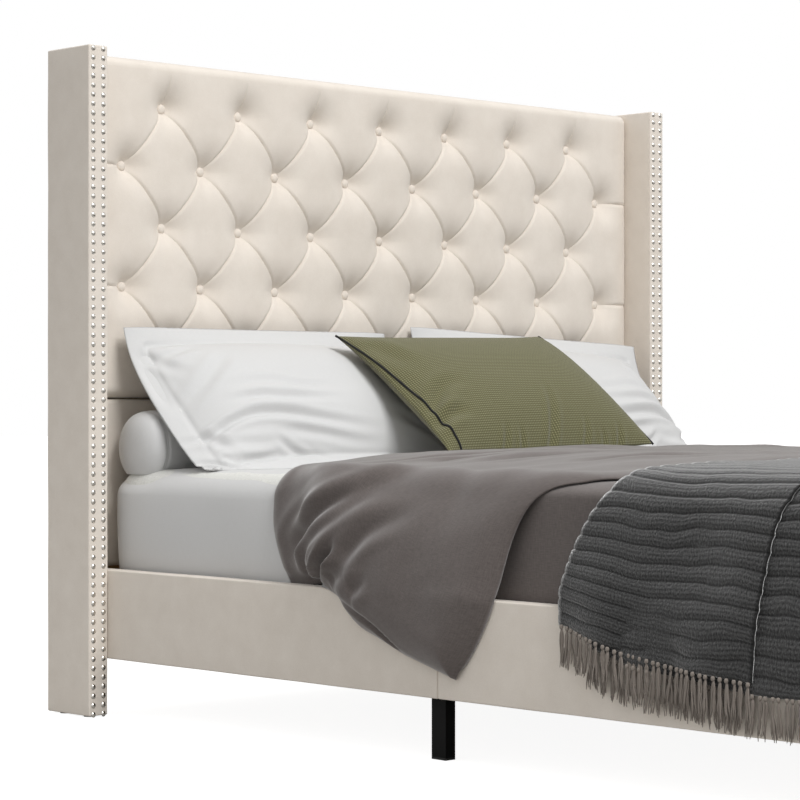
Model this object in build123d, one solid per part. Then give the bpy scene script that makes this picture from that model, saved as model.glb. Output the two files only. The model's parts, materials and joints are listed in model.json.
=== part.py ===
"""Queen size wingback bed with a diamond tufted headboard, dressed with its bedding.

Millimetres, +Z up. The origin is on the floor at the middle of the bed, +Y points to the head
end and -X is the side whose bedding hangs over the rail first.
"""
import math
import os

from build123d import *

# Mattress, which sets the size of the frame round it
mattress_width = 1524
mattress_length = 2032
mattress_height = 254
mattress_corner_radius = 60
mattress_edge_radius = 40
mattress_side_gap = 14
mattress_head_gap = 30
mattress_foot_gap = 13
sheet_thickness = 1.5

# Wings
wing_thickness = 46
wing_depth = 136
wing_height = 1300
wing_padding = 8
wing_front_padding = 9
wing_edge_radius = 3
wing_glide_radius = 11
wing_glide_height = 3
wing_glide_pin_radius = 3
wing_glide_pin_length = 12
wing_glide_inset = 30

# Decorative nails down the front of each wing
nail_radius = 5.4
nail_rise = 2.6
nail_shank_radius = 0.8
nail_shank_length = 6
nail_row_inset = 11
nail_pitch = 17.87
nail_top_inset = 7

# Headboard: fabric, timber frame, plywood, and padding on the front
back_cover_thickness = 2
timber_thickness = 22
timber_width = 60
foot_timber_height = 100
panel_thickness = 9
pad_top_inset = 4
pad_seam_height = 616
pad_seam_gap = 1
lower_pad_thickness = 35
lower_pad_edge_radius = 8
tuft_slab_thickness = 6
tuft_rise = 40
tuft_columns = 8
tuft_row_count = 5
tuft_top_inset = 96
tuft_bottom_inset = 102.8
button_radius = 10
button_disc_thickness = 3
button_dome_rise = 4
button_shank_radius = 1.5

# Share of the tuft's rise, and of its outline, at each step from its base to its crest
tuft_step_shares = ((0, 1), (0.42, 0.93), (0.74, 0.78), (0.93, 0.55), (1, 0.3))

# Side rails, each in two halves, and the foot rail
rail_bottom = 112
rail_height = 173
rail_thickness = 30
rail_padding = 5
rail_edge_radius = 3
rail_split_place = 46
foot_rail_thickness = 35

# Ledgers, slats and the beam that carries the slats in the middle
ledger_thickness = 23
ledger_height = 30
ledger_rise = 66
ledger_end_gap = 5
ledger_split_gap = 2
slat_thickness = 18
slat_width = 70
slat_count = 13
slat_end_gap = 4
slat_end_inset = 10
beam_width = 40
beam_height = 30
beam_wall = 2
beam_end_gap = 1
sleeve_length = 240

# Steel plates and brackets, all cut from the same strip
plate_thickness = 3
plate_height = 52
bracket_leg = 90
bracket_foot = 60
bracket_rise = 10
joint_plate_length = 160
hanger_width = 60
hanger_tongue = 60
hanger_rise = 48

# Legs on the side ledgers
leg_width = 34
leg_depth = 23
leg_wall = 1.8
leg_top_gap = 2
leg_cap_thickness = 4
leg_cap_plug = 16
leg_from_split = 50
leg_from_foot_rail = 30
leg_screw_pitch = 18
leg_screw_drop = 5

# Legs under the middle beam, with levelling glides
centre_leg_width = 25
centre_leg_wall = 1.5
centre_leg_plate_length = 60
centre_leg_plate_width = 50
centre_leg_bottom = 24
centre_leg_plug = 20
centre_leg_places = (600, -60, -700)
glide_radius = 17
glide_disc_height = 6
glide_stem_radius = 4
glide_stem_length = 58

# Fasteners
bolt_radius = 3
bolt_head_radius = 5.5
bolt_head_height = 4
bolt_length = 24
bolt_spacing = 26
wing_bolt_radius = 4
wing_bolt_head_radius = 8
wing_bolt_head_height = 4
wing_bolt_length = 88
wing_bolt_inset = 48
leg_screw_radius = 2.5
leg_screw_head_radius = 4.5
leg_screw_head_height = 3
leg_screw_length = 42
slat_screw_radius = 2
slat_screw_head_radius = 4
slat_screw_head_height = 3
slat_screw_length = 38
centre_screw_length = 10
hole_clearance = 0.2

# Bedding: pillows and the roll behind them
soft_clearance = 0.3
roll_radius = 66
roll_sink = 20
roll_side_inset = 7
roll_end_rise = 26
roll_from_wing_front = 12
pillow_width = 680
pillow_height = 410
pillow_front = 60
pillow_back = 46
pillow_side_draw = 18
pillow_flange_width = 34
pillow_flange_thickness = 4
pillow_slope = 43.5
pillow_drop = 118
pillow_lift = 142
pillow_side_inset = 17
pillow_right_turn = -4
accent_width = 606
accent_height = 402
accent_front = 68
accent_back = 28
accent_side_draw = 16
accent_slope = 37
accent_place = 29
accent_drop = 240.5
accent_lift = 157
accent_turn = 1.5
piping_radius = 3

# Share of a cushion's crown, and of its outline, at each step from its rim to its crown
crown_step_shares = ((0, 1), (0.3, 0.955), (0.6, 0.84), (0.85, 0.64), (1, 0.34))

# Bedding: duvet, tucked inside the rails and turned back at the head
duvet_thickness = 21
duvet_top_thickness = 25
duvet_tuck_thickness = 7
duvet_tuck_depth = 180
duvet_fold_place = 497
duvet_hem_place = -240
duvet_drape_thickness = 10
duvet_overhang = 2.5
duvet_tip_height = 147
duvet_tip_place = -2
duvet_wave = 5
duvet_wave_count = 5

# Bedding: folded throw across the foot end, with fringe
throw_thickness = 13
throw_head_place = -497
throw_flare = 250
throw_foot_place = -930
throw_hem_height = 196
throw_hem_slope = 0.036
throw_wave = 4
throw_wave_count = 6
fringe_pitch = 25
fringe_length = 84
fringe_under_drop = 18
fringe_thickness = 4
fringe_root_share = 0.72
fringe_tip_share = 0.4
cut_overrun = 50

# Places that follow from the sizes above
inner_half_width = mattress_width / 2 + mattress_side_gap + rail_thickness
half_width = inner_half_width + wing_thickness
rail_inner = inner_half_width - rail_thickness
rail_top = rail_bottom + rail_height
headboard_depth = back_cover_thickness + timber_thickness + panel_thickness
half_length = (headboard_depth + lower_pad_thickness + mattress_head_gap + mattress_length
               + mattress_foot_gap + foot_rail_thickness) / 2
timber_front = half_length - back_cover_thickness - timber_thickness
panel_front = timber_front - panel_thickness
mattress_head = panel_front - lower_pad_thickness - mattress_head_gap
mattress_foot = mattress_head - mattress_length
foot_rail_inner = -half_length + foot_rail_thickness
wing_front = half_length - wing_depth
pad_top = wing_height - pad_top_inset
panel_top = pad_top - tuft_slab_thickness
button_plane = panel_front - tuft_slab_thickness
tuft_column_pitch = 2 * inner_half_width / tuft_columns
tuft_top_row = pad_top - tuft_top_inset
tuft_bottom_row = pad_seam_height + tuft_bottom_inset
tuft_row_pitch = (tuft_top_row - tuft_bottom_row) / (tuft_row_count - 1)
nail_count = 1 + int((wing_height - nail_top_inset - nail_radius) / nail_pitch)
wing_bolt_places = (rail_bottom + foot_timber_height + wing_bolt_inset,
                    pad_seam_height + timber_width / 2 + wing_bolt_inset,
                    panel_top - timber_width - wing_bolt_inset)
ledger_bottom = rail_bottom + ledger_rise
ledger_top = ledger_bottom + ledger_height
ledger_inner = rail_inner - ledger_thickness
slat_top = ledger_top + slat_thickness
mattress_top = slat_top + mattress_height
sheet_top = mattress_top + sheet_thickness
bed_top = sheet_top + soft_clearance
roll_half_length = mattress_width / 2 - roll_side_inset
pillow_place = mattress_width / 2 - pillow_side_inset - pillow_width / 2
plate_bottom = rail_bottom + bracket_rise
plate_middle = plate_bottom + plate_height / 2


def block(x_range, y_range, z_range):
    """Box between two places on each axis."""
    ranges = (x_range, y_range, z_range)
    sizes = [high - low for low, high in ranges]
    middle = [(high + low) / 2 for low, high in ranges]
    return Pos(*middle) * Box(*sizes)


def both_sides(shape):
    """The shape and its mirror image across the middle of the bed."""
    return [shape, mirror(shape, about=Plane.YZ)]


def solids_of(shapes):
    """All solids of a list of shapes."""
    return [solid for shape in shapes for solid in shape.solids()]


def group(shapes):
    """Identical or paired pieces kept side by side as separate solids."""
    return Compound(children=solids_of(shapes))


def pin(point, direction, radius, length):
    """Round bar that starts at a point and runs along a direction."""
    bar = Cylinder(radius, length, align=(Align.CENTER, Align.CENTER, Align.MIN))
    return Plane(origin=point, z_dir=direction).location * bar


def screw(point, inward, radius, length, head_radius, head_height):
    """Headed fastener: its head stands on a point's face and its shank runs inward."""
    outward = tuple(-part for part in inward)
    return pin(point, inward, radius, length) + pin(point, outward, head_radius, head_height)


def hole(point, inward, radius, length):
    """Clearance hole for a screw's shank."""
    return pin(point, inward, radius + hole_clearance, length + hole_clearance)


def edges_along(shape, axis, where, place):
    """Edges parallel to an axis whose middle has a given place on another axis."""
    return [edge for edge in shape.edges().filter_by(axis)
            if math.isclose(where(edge.center()), place, abs_tol=sheet_thickness / 10)]


def nail_places():
    """X and Z of every nail of one wing, counted from the wing's outer face."""
    rows = (half_width - nail_row_inset, half_width - wing_thickness + nail_row_inset)
    top = wing_height - nail_top_inset
    return [(row, top - nail_pitch * step) for row in rows for step in range(nail_count)]


def button_rows():
    """Height of each row of buttons and the X places along it; the rows are staggered."""
    rows = []
    for row in range(tuft_row_count):
        count = tuft_columns - 1 if row % 2 == 0 else tuft_columns
        first = -(count - 1) / 2
        rows.append((tuft_top_row - row * tuft_row_pitch,
                     [(first + step) * tuft_column_pitch for step in range(count)]))
    return rows


def button_places():
    """Every button's X and Z."""
    return [(x, z) for z, columns in button_rows() for x in columns]


def tuft_outlines():
    """Outline of each puffed tuft: whole diamonds, and the part ones along the borders."""
    rows = button_rows()
    bottom = pad_seam_height + pad_seam_gap / 2
    edge = inner_half_width - soft_clearance
    outlines = []
    for row in range(1, tuft_row_count - 1):
        height = rows[row][0]
        above = rows[row - 1][0]
        below = rows[row + 1][0]
        for x in rows[row - 1][1]:
            left = x - tuft_column_pitch / 2
            right = x + tuft_column_pitch / 2
            if abs(left) < edge and abs(right) < edge:
                outlines.append([(x, above), (right, height), (x, below), (left, height)])
        if row % 2 == 0:
            for side in (-1, 1):
                inner = side * rows[row][1][-1]
                outer = side * rows[row - 1][1][-1]
                outlines.append([(side * edge, above), (outer, above), (inner, height),
                                 (outer, below), (side * edge, below)])
    for end_row, next_row, border in ((0, 1, pad_top), (-1, -2, bottom)):
        height = rows[end_row][0]
        middle = rows[next_row][0]
        columns = rows[end_row][1]
        for left, right in zip(columns, columns[1:]):
            outlines.append([(left, border), (left, height), ((left + right) / 2, middle),
                             (right, height), (right, border)])
        for side in (-1, 1):
            last = side * columns[-1]
            outer = side * rows[next_row][1][-1]
            outlines.append([(last, border), (last, height), (outer, middle),
                             (side * edge, middle), (side * edge, border)])
    return outlines


def tuft(outline):
    """One puffed tuft: its outline shrinks towards its middle in steps as it rises."""
    middle_x = sum(x for x, z in outline) / len(outline)
    middle_z = sum(z for x, z in outline) / len(outline)
    wires = []
    for rise_share, size_share in tuft_step_shares:
        y = button_plane - tuft_rise * rise_share
        points = [(middle_x + (x - middle_x) * size_share, y,
                   middle_z + (z - middle_z) * size_share) for x, z in outline]
        wires.append(Wire.make_polygon(points, close=True))
    return Solid.make_loft(wires, ruled=True)


def tuft_button():
    """Covered button with its shank, on the Z axis, dome up."""
    disc = Cylinder(button_radius, button_disc_thickness,
                    align=(Align.CENTER, Align.CENTER, Align.MIN))
    ball_radius = (button_radius ** 2 + button_dome_rise ** 2) / (2 * button_dome_rise)
    dome = Pos(0, 0, button_disc_thickness + button_dome_rise - ball_radius) * Sphere(ball_radius)
    dome &= Pos(0, 0, button_disc_thickness) * Cylinder(
        button_radius, button_dome_rise, align=(Align.CENTER, Align.CENTER, Align.MIN))
    shank_length = tuft_slab_thickness + panel_thickness
    return disc + dome + pin((0, 0, 0), (0, 0, -1), button_shank_radius, shank_length)


def make_headboard():
    """Padding, buttons, plywood, timber frame and back cover of the headboard."""
    seam_top = pad_seam_height + pad_seam_gap / 2
    edge = inner_half_width - soft_clearance
    slab = block((-edge, edge), (button_plane, panel_front), (seam_top, pad_top))
    over_top = block((-edge, edge), (panel_front, half_length), (panel_top, pad_top))
    pad = slab + over_top + [tuft(outline) for outline in tuft_outlines()]
    button = tuft_button()
    facing = Rot(90, 0, 0)
    pockets = []
    shank_holes = []
    buttons = []
    shank_length = tuft_slab_thickness + panel_thickness
    for x, z in button_places():
        seat = (x, button_plane, z)
        pockets.append(hole(seat, (0, -1, 0), button_radius, tuft_rise))
        shank_holes.append(hole(seat, (0, 1, 0), button_shank_radius, shank_length))
        buttons.append(Pos(*seat) * facing * button)
    pad = pad - pockets - shank_holes
    lower = block((-edge, edge), (panel_front - lower_pad_thickness, panel_front),
                  (rail_top + pad_seam_gap, pad_seam_height - pad_seam_gap / 2))
    front_edges = edges_along(lower, Axis.X, lambda p: p.Y, panel_front - lower_pad_thickness)
    lower = fillet(front_edges, lower_pad_edge_radius)
    panel = block((-inner_half_width, inner_half_width), (panel_front, timber_front),
                  (rail_bottom, panel_top))
    panel = panel - shank_holes
    timber = (timber_front, timber_front + timber_thickness)
    stile_inner = inner_half_width - timber_width
    stile = block((stile_inner, inner_half_width), timber, (rail_bottom, panel_top))
    cross_spans = ((rail_bottom, rail_bottom + foot_timber_height),
                   (pad_seam_height - timber_width / 2, pad_seam_height + timber_width / 2),
                   (panel_top - timber_width, panel_top))
    crosses = [block((-stile_inner, stile_inner), timber, span) for span in cross_spans]
    back = block((-inner_half_width, inner_half_width),
                 (timber_front + timber_thickness, half_length), (rail_bottom, panel_top))
    return {"tufted_pad": pad, "tuft_buttons": buttons, "headboard_lower_pad": lower,
            "headboard_panel": panel, "headboard_stiles": both_sides(stile),
            "headboard_cross_rails": crosses, "headboard_back_cover": back}


def make_wing():
    """Right wing: timber core, padded cover, nails and floor glides."""
    outer = block((inner_half_width, half_width), (wing_front, half_length),
                  (wing_glide_height, wing_height))
    soft_edges = outer.edges().filter_by(Axis.Z) + outer.edges().group_by(Axis.Z)[-1]
    outer = fillet(soft_edges, wing_edge_radius)
    core = block((inner_half_width + wing_padding, half_width - wing_padding),
                 (wing_front + wing_front_padding, half_length - wing_front_padding),
                 (wing_glide_height, wing_height - wing_padding))
    cover = outer - core
    ball_radius = (nail_radius ** 2 + nail_rise ** 2) / (2 * nail_rise)
    head = Pos(0, 0, nail_rise - ball_radius) * Sphere(ball_radius)
    head &= Cylinder(nail_radius, nail_rise, align=(Align.CENTER, Align.CENTER, Align.MIN))
    nail = head + pin((0, 0, 0), (0, 0, -1), nail_shank_radius, nail_shank_length)
    nails = [Pos(x, wing_front, z) * Rot(90, 0, 0) * nail for x, z in nail_places()]
    glides = []
    for y in (wing_front + wing_glide_inset, half_length - wing_glide_inset):
        top = (half_width - wing_thickness / 2, y, wing_glide_height)
        glide = pin(top, (0, 0, -1), wing_glide_radius, wing_glide_height)
        glides.append(glide + pin(top, (0, 0, 1), wing_glide_pin_radius, wing_glide_pin_length))
        core = core - hole(top, (0, 0, 1), wing_glide_pin_radius, wing_glide_pin_length)
    return {"core": core, "cover": cover, "nails": nails, "glides": glides}


def wing_bolt_points():
    """Where each bolt of the right wing starts, on the inner edge of the headboard's stile."""
    y = timber_front + timber_thickness / 2
    return [(inner_half_width - timber_width, y, z) for z in wing_bolt_places]


def make_rail_half(y_range):
    """Board and sewn cover of one half of the right side rail."""
    outer = block((rail_inner, inner_half_width), y_range, (rail_bottom, rail_top))
    board = block((rail_inner + rail_padding, inner_half_width - rail_padding), y_range,
                  (rail_bottom + rail_padding, rail_top - rail_padding))
    outer = fillet(edges_along(outer, Axis.Y, lambda p: p.X, inner_half_width),
                   rail_edge_radius)
    return board, outer - board


def make_foot_rail():
    """Board and cover of the foot rail; the cover is open underneath."""
    outer = block((-inner_half_width, inner_half_width), (-half_length, foot_rail_inner),
                  (rail_bottom, rail_top))
    outer = fillet(edges_along(outer, Axis.X, lambda p: p.Y, -half_length), rail_edge_radius)
    board = block((-inner_half_width + rail_padding, inner_half_width - rail_padding),
                  (-half_length + rail_padding, foot_rail_inner - rail_padding),
                  (rail_bottom, rail_top - rail_padding))
    return board, outer - board


def slat_places():
    """Y of each slat, spread evenly under the mattress."""
    first = mattress_head - slat_end_inset - slat_width / 2
    last = mattress_foot + slat_end_inset + slat_width / 2
    pitch = (last - first) / (slat_count - 1)
    return [first + pitch * step for step in range(slat_count)]


def leg_places():
    """Y of the middle and foot legs on each side."""
    return {"middle": rail_split_place + leg_from_split,
            "foot": foot_rail_inner + leg_from_foot_rail}


def leg_screw_points():
    """Where the screws of the right legs start, on each leg's inner face."""
    z = ledger_top - leg_top_gap - leg_screw_drop
    return [(ledger_inner - leg_depth, y + side * leg_screw_pitch / 2, z)
            for y in leg_places().values() for side in (-1, 1)]


def bracket_bolt_points():
    """Point and direction of each bolt of the right brackets and joint plate."""
    heights = [plate_middle - bolt_spacing / 2, plate_middle + bolt_spacing / 2]
    face = rail_inner - plate_thickness
    into_rail = (1, 0, 0)
    points = []
    for z in heights:
        for end, side in ((panel_front, -1), (foot_rail_inner, 1)):
            points.append(((face, end + side * bracket_leg * 2 / 3, z), into_rail))
            points.append(((rail_inner - bracket_foot * 3 / 4, end + side * plate_thickness, z),
                           (0, -side, 0)))
        for side in (-1, 1):
            points.append(((face, rail_split_place + side * joint_plate_length / 3, z),
                           into_rail))
    return points


def hanger_bolt_points():
    """Point and direction of each bolt that holds the beam's two hangers."""
    z = ledger_top - beam_height - hanger_rise / 2
    points = []
    for side in (-1, 1):
        x = side * hanger_width / 4
        points.append(((x, panel_front - plate_thickness, z), (0, 1, 0)))
        points.append(((x, foot_rail_inner + plate_thickness, z), (0, -1, 0)))
    return points


def make_brackets():
    """Corner brackets, rail joint plates and beam hangers."""
    face = rail_inner - plate_thickness
    heights = (plate_bottom, plate_bottom + plate_height)
    brackets = {}
    for name, end, side in (("head", panel_front, -1), ("foot", foot_rail_inner, 1)):
        on_rail = block((face, rail_inner), sorted((end, end + side * bracket_leg)), heights)
        on_end = block((rail_inner - bracket_foot, rail_inner),
                       sorted((end, end + side * plate_thickness)), heights)
        brackets[name] = on_rail + on_end
    half_plate = joint_plate_length / 2
    joint = block((face, rail_inner),
                  (rail_split_place - half_plate, rail_split_place + half_plate), heights)
    beam_bottom = ledger_top - beam_height
    hangers = []
    for end, side in ((panel_front, -1), (foot_rail_inner, 1)):
        plate = block((-hanger_width / 2, hanger_width / 2),
                      sorted((end, end + side * plate_thickness)),
                      (beam_bottom - hanger_rise, ledger_top))
        tongue = block((-beam_width / 2, beam_width / 2), sorted((end, end + side * hanger_tongue)),
                       (beam_bottom - plate_thickness, beam_bottom))
        hangers.append(plate + tongue)
    return brackets, joint, hangers


def make_side_leg(y):
    """Right side leg, a rectangular steel tube, and its plastic cap."""
    x_range = (ledger_inner - leg_depth, ledger_inner)
    y_range = (y - leg_width / 2, y + leg_width / 2)
    tube = block(x_range, y_range, (leg_cap_thickness, ledger_top - leg_top_gap))
    bore = block((x_range[0] + leg_wall, x_range[1] - leg_wall),
                 (y_range[0] + leg_wall, y_range[1] - leg_wall), (0, ledger_top))
    tube = tube - bore
    fit = leg_wall + hole_clearance
    cap = block(x_range, y_range, (0, leg_cap_thickness))
    cap += block((x_range[0] + fit, x_range[1] - fit), (y_range[0] + fit, y_range[1] - fit),
                 (0, leg_cap_thickness + leg_cap_plug))
    return tube, cap


def make_centre_leg(y):
    """Leg under the middle beam with its threaded plug, and its levelling glide."""
    beam_bottom = ledger_top - beam_height
    half = centre_leg_width / 2
    tube = block((-half, half), (y - half, y + half),
                 (centre_leg_bottom, beam_bottom - plate_thickness))
    inner = half - centre_leg_wall
    tube = tube - block((-inner, inner), (y - inner, y + inner),
                        (centre_leg_bottom + centre_leg_plug, beam_bottom))
    tube = tube - hole((0, y, centre_leg_bottom), (0, 0, 1), glide_stem_radius, centre_leg_plug)
    plate = block((-centre_leg_plate_length / 2, centre_leg_plate_length / 2),
                  (y - centre_leg_plate_width / 2, y + centre_leg_plate_width / 2),
                  (beam_bottom - plate_thickness, beam_bottom))
    glide = Pos(0, y, 0) * Cylinder(glide_radius, glide_disc_height,
                                    align=(Align.CENTER, Align.CENTER, Align.MIN))
    glide = fillet(glide.edges().group_by(Axis.Z)[-1], glide_disc_height / 3)
    glide += pin((0, y, glide_disc_height), (0, 0, 1), glide_stem_radius, glide_stem_length)
    return tube + plate, glide


def centre_screw_points():
    """Where the screws of the centre legs start, under each leg's plate."""
    z = ledger_top - beam_height - plate_thickness
    return [(0, y + side * centre_leg_plate_width * 2 / 5, z)
            for y in centre_leg_places for side in (-1, 1)]


def make_base():
    """Rails, ledgers, slats, beam, brackets, legs and every fastener that joins them."""
    left = Plane.YZ
    spans = {"head": (rail_split_place, panel_front), "foot": (foot_rail_inner, rail_split_place)}
    into_ledger = (1, 0, 0)
    bolt_list = bracket_bolt_points()
    bolt_holes = [hole(point, way, bolt_radius, bolt_length) for point, way in bolt_list]
    hanger_list = hanger_bolt_points()
    hanger_holes = [hole(point, way, bolt_radius, bolt_length) for point, way in hanger_list]
    wing_holes = [hole(point, into_ledger, wing_bolt_radius, wing_bolt_length)
                  for point in wing_bolt_points()]
    leg_holes = [hole(point, into_ledger, leg_screw_radius, leg_screw_length)
                 for point in leg_screw_points()]
    slat_screw_x = ledger_inner + ledger_thickness / 2
    slat_points = [(slat_screw_x, y, slat_top - slat_screw_head_height) for y in slat_places()]
    slat_holes = [hole(point, (0, 0, -1), slat_screw_radius, slat_screw_length)
                  for point in slat_points]
    slat_holes += [hole(point, (0, 0, 1), slat_screw_head_radius, slat_screw_head_height)
                   for point in slat_points]
    nodes = {}
    for name, span in spans.items():
        board, cover = make_rail_half(span)
        board = board - bolt_holes
        cover = cover - bolt_holes
        nodes[f"rail_board_{name}_right"] = board
        nodes[f"rail_cover_{name}_right"] = cover
        nodes[f"rail_board_{name}_left"] = mirror(board, about=left)
        nodes[f"rail_cover_{name}_left"] = mirror(cover, about=left)
    board, cover = make_foot_rail()
    every_bolt_hole = solids_of([shape for one in bolt_holes for shape in both_sides(one)])
    nodes["foot_rail_board"] = board - every_bolt_hole - hanger_holes
    nodes["foot_rail_cover"] = cover - every_bolt_hole - hanger_holes
    ledgers = []
    for low, high in ((rail_split_place + ledger_split_gap / 2, panel_front - ledger_end_gap),
                      (foot_rail_inner + ledger_end_gap, rail_split_place - ledger_split_gap / 2)):
        ledger = block((ledger_inner, rail_inner), (low, high), (ledger_bottom, ledger_top))
        ledgers.append(ledger - leg_holes - slat_holes)
    nodes["ledgers_right"] = ledgers
    nodes["ledgers_left"] = [mirror(one, about=left) for one in ledgers]
    slat_half = rail_inner - slat_end_gap
    both_slat_holes = solids_of([shape for one in slat_holes for shape in both_sides(one)])
    nodes["slats"] = [block((-slat_half, slat_half), (y - slat_width / 2, y + slat_width / 2),
                            (ledger_top, slat_top)) - both_slat_holes for y in slat_places()]
    slat_screws = [screw(point, (0, 0, -1), slat_screw_radius, slat_screw_length,
                         slat_screw_head_radius, slat_screw_head_height)
                   for point in slat_points]
    nodes["slat_screws"] = solids_of([shape for one in slat_screws for shape in both_sides(one)])

    brackets, joint, hangers = make_brackets()
    for name, bracket in brackets.items():
        nodes[f"corner_brackets_{name}"] = both_sides(bracket - bolt_holes)
    nodes["rail_joint_plates"] = both_sides(joint - bolt_holes)
    nodes["beam_hangers"] = [hanger - hanger_holes for hanger in hangers]
    bolts = [screw(point, way, bolt_radius, bolt_length, bolt_head_radius, bolt_head_height)
             for point, way in bolt_list]
    nodes["bracket_bolts"] = [shape for one in bolts for shape in both_sides(one)]
    nodes["bracket_bolts"] += [screw(point, way, bolt_radius, bolt_length, bolt_head_radius,
                                     bolt_head_height) for point, way in hanger_list]

    beam_bottom = ledger_top - beam_height
    centre_list = centre_screw_points()
    centre_holes = [hole(point, (0, 0, 1), leg_screw_radius, centre_screw_length)
                    for point in centre_list]
    beams = []
    for low, high in ((rail_split_place, panel_front - plate_thickness - beam_end_gap),
                      (foot_rail_inner + plate_thickness + beam_end_gap, rail_split_place)):
        beam = block((-beam_width / 2, beam_width / 2), (low, high), (beam_bottom, ledger_top))
        bore = block((-beam_width / 2 + beam_wall, beam_width / 2 - beam_wall),
                     (low - cut_overrun, high + cut_overrun),
                     (beam_bottom + beam_wall, ledger_top - beam_wall))
        beams.append(beam - bore - centre_holes)
    nodes["centre_beam"] = beams
    fit = beam_wall + hole_clearance
    sleeve_span = (rail_split_place - sleeve_length / 2, rail_split_place + sleeve_length / 2)
    sleeve = block((-beam_width / 2 + fit, beam_width / 2 - fit), sleeve_span,
                   (beam_bottom + fit, ledger_top - fit))
    fit += beam_wall
    sleeve_bore = block((-beam_width / 2 + fit, beam_width / 2 - fit), sleeve_span,
                        (beam_bottom + fit, ledger_top - fit))
    nodes["beam_sleeve"] = sleeve - sleeve_bore - centre_holes

    caps = []
    for name, y in leg_places().items():
        tube, cap = make_side_leg(y)
        tube = tube - leg_holes
        nodes[f"leg_{name}_right"] = tube
        nodes[f"leg_{name}_left"] = mirror(tube, about=left)
        caps += both_sides(cap)
    nodes["leg_caps"] = caps
    leg_screws = [screw(point, into_ledger, leg_screw_radius, leg_screw_length,
                        leg_screw_head_radius, leg_screw_head_height)
                  for point in leg_screw_points()]
    nodes["leg_screws"] = [shape for one in leg_screws for shape in both_sides(one)]
    for number, y in enumerate(centre_leg_places, start=1):
        leg, glide = make_centre_leg(y)
        nodes[f"centre_leg_{number}"] = leg - centre_holes
        nodes[f"levelling_glide_{number}"] = glide
    nodes["centre_leg_screws"] = [screw(point, (0, 0, 1), leg_screw_radius, centre_screw_length,
                                        leg_screw_head_radius, leg_screw_head_height)
                                  for point in centre_list]

    wing = make_wing()
    nodes["wing_core_right"] = wing["core"] - wing_holes
    nodes["wing_cover_right"] = wing["cover"] - wing_holes
    nodes["wing_core_left"] = mirror(nodes["wing_core_right"], about=left)
    nodes["wing_cover_left"] = mirror(nodes["wing_cover_right"], about=left)
    nodes["nails_right"] = wing["nails"]
    nodes["nails_left"] = [mirror(nail, about=left) for nail in wing["nails"]]
    nodes["wing_glides"] = [shape for one in wing["glides"] for shape in both_sides(one)]
    wing_bolts = [screw(point, into_ledger, wing_bolt_radius, wing_bolt_length,
                        wing_bolt_head_radius, wing_bolt_head_height)
                  for point in wing_bolt_points()]
    nodes["wing_bolts"] = [shape for one in wing_bolts for shape in both_sides(one)]

    headboard = make_headboard()
    headboard["headboard_panel"] -= every_bolt_hole + hanger_holes
    headboard["headboard_cross_rails"] = [rail - every_bolt_hole - hanger_holes
                                          for rail in headboard["headboard_cross_rails"]]
    stile_holes = every_bolt_hole + solids_of(
        [shape for one in wing_holes for shape in both_sides(one)])
    headboard["headboard_stiles"] = [stile - stile_holes
                                     for stile in headboard["headboard_stiles"]]
    nodes.update(headboard)
    return nodes


def mattress_form(grow, base):
    """Mattress with rounded corners and edges, grown all round for the sheet."""
    half = mattress_width / 2 + grow
    body = block((-half, half), (mattress_foot - grow, mattress_head + grow),
                 (base, mattress_top + grow))
    body = fillet(body.edges().filter_by(Axis.Z), mattress_corner_radius + grow)
    return fillet(body.edges().group_by(Axis.Z)[-1], mattress_edge_radius + grow)


def cushion(width, height, front, back, side_draw, rim):
    """Crowned cushion on the XY plane: outlines with drawn-in sides, shrinking to each crown."""
    def outline(size_share, level):
        half_x = width / 2 * size_share
        half_y = height / 2 * size_share
        draw = side_draw * size_share
        corners = [(-half_x, -half_y), (half_x, -half_y), (half_x, half_y), (-half_x, half_y)]
        middles = [(0, draw - half_y), (half_x - draw, 0), (0, half_y - draw), (draw - half_x, 0)]
        arcs = [ThreePointArc((*start, level), (*middle, level), (*end, level))
                for start, middle, end in zip(corners, middles, corners[1:] + corners[:1])]
        return Wire(arcs)

    steps = [(-rim - (back - rim) * rise, size) for rise, size in reversed(crown_step_shares)]
    steps += [(rim + (front - rim) * rise, size) for rise, size in crown_step_shares]
    return Solid.make_loft([outline(size, level) for level, size in steps], ruled=True)


def leaning(x, drop, lift, slope, turn):
    """Place of a leaning pillow: its middle, how steeply it leans and its turn in its plane."""
    angle = math.radians(slope)
    normal = (0, -math.sin(angle), math.cos(angle))
    place = Plane(origin=(x, wing_front - drop, bed_top + lift), x_dir=(1, 0, 0), z_dir=normal)
    return place.location * Rot(0, 0, turn)


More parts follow.
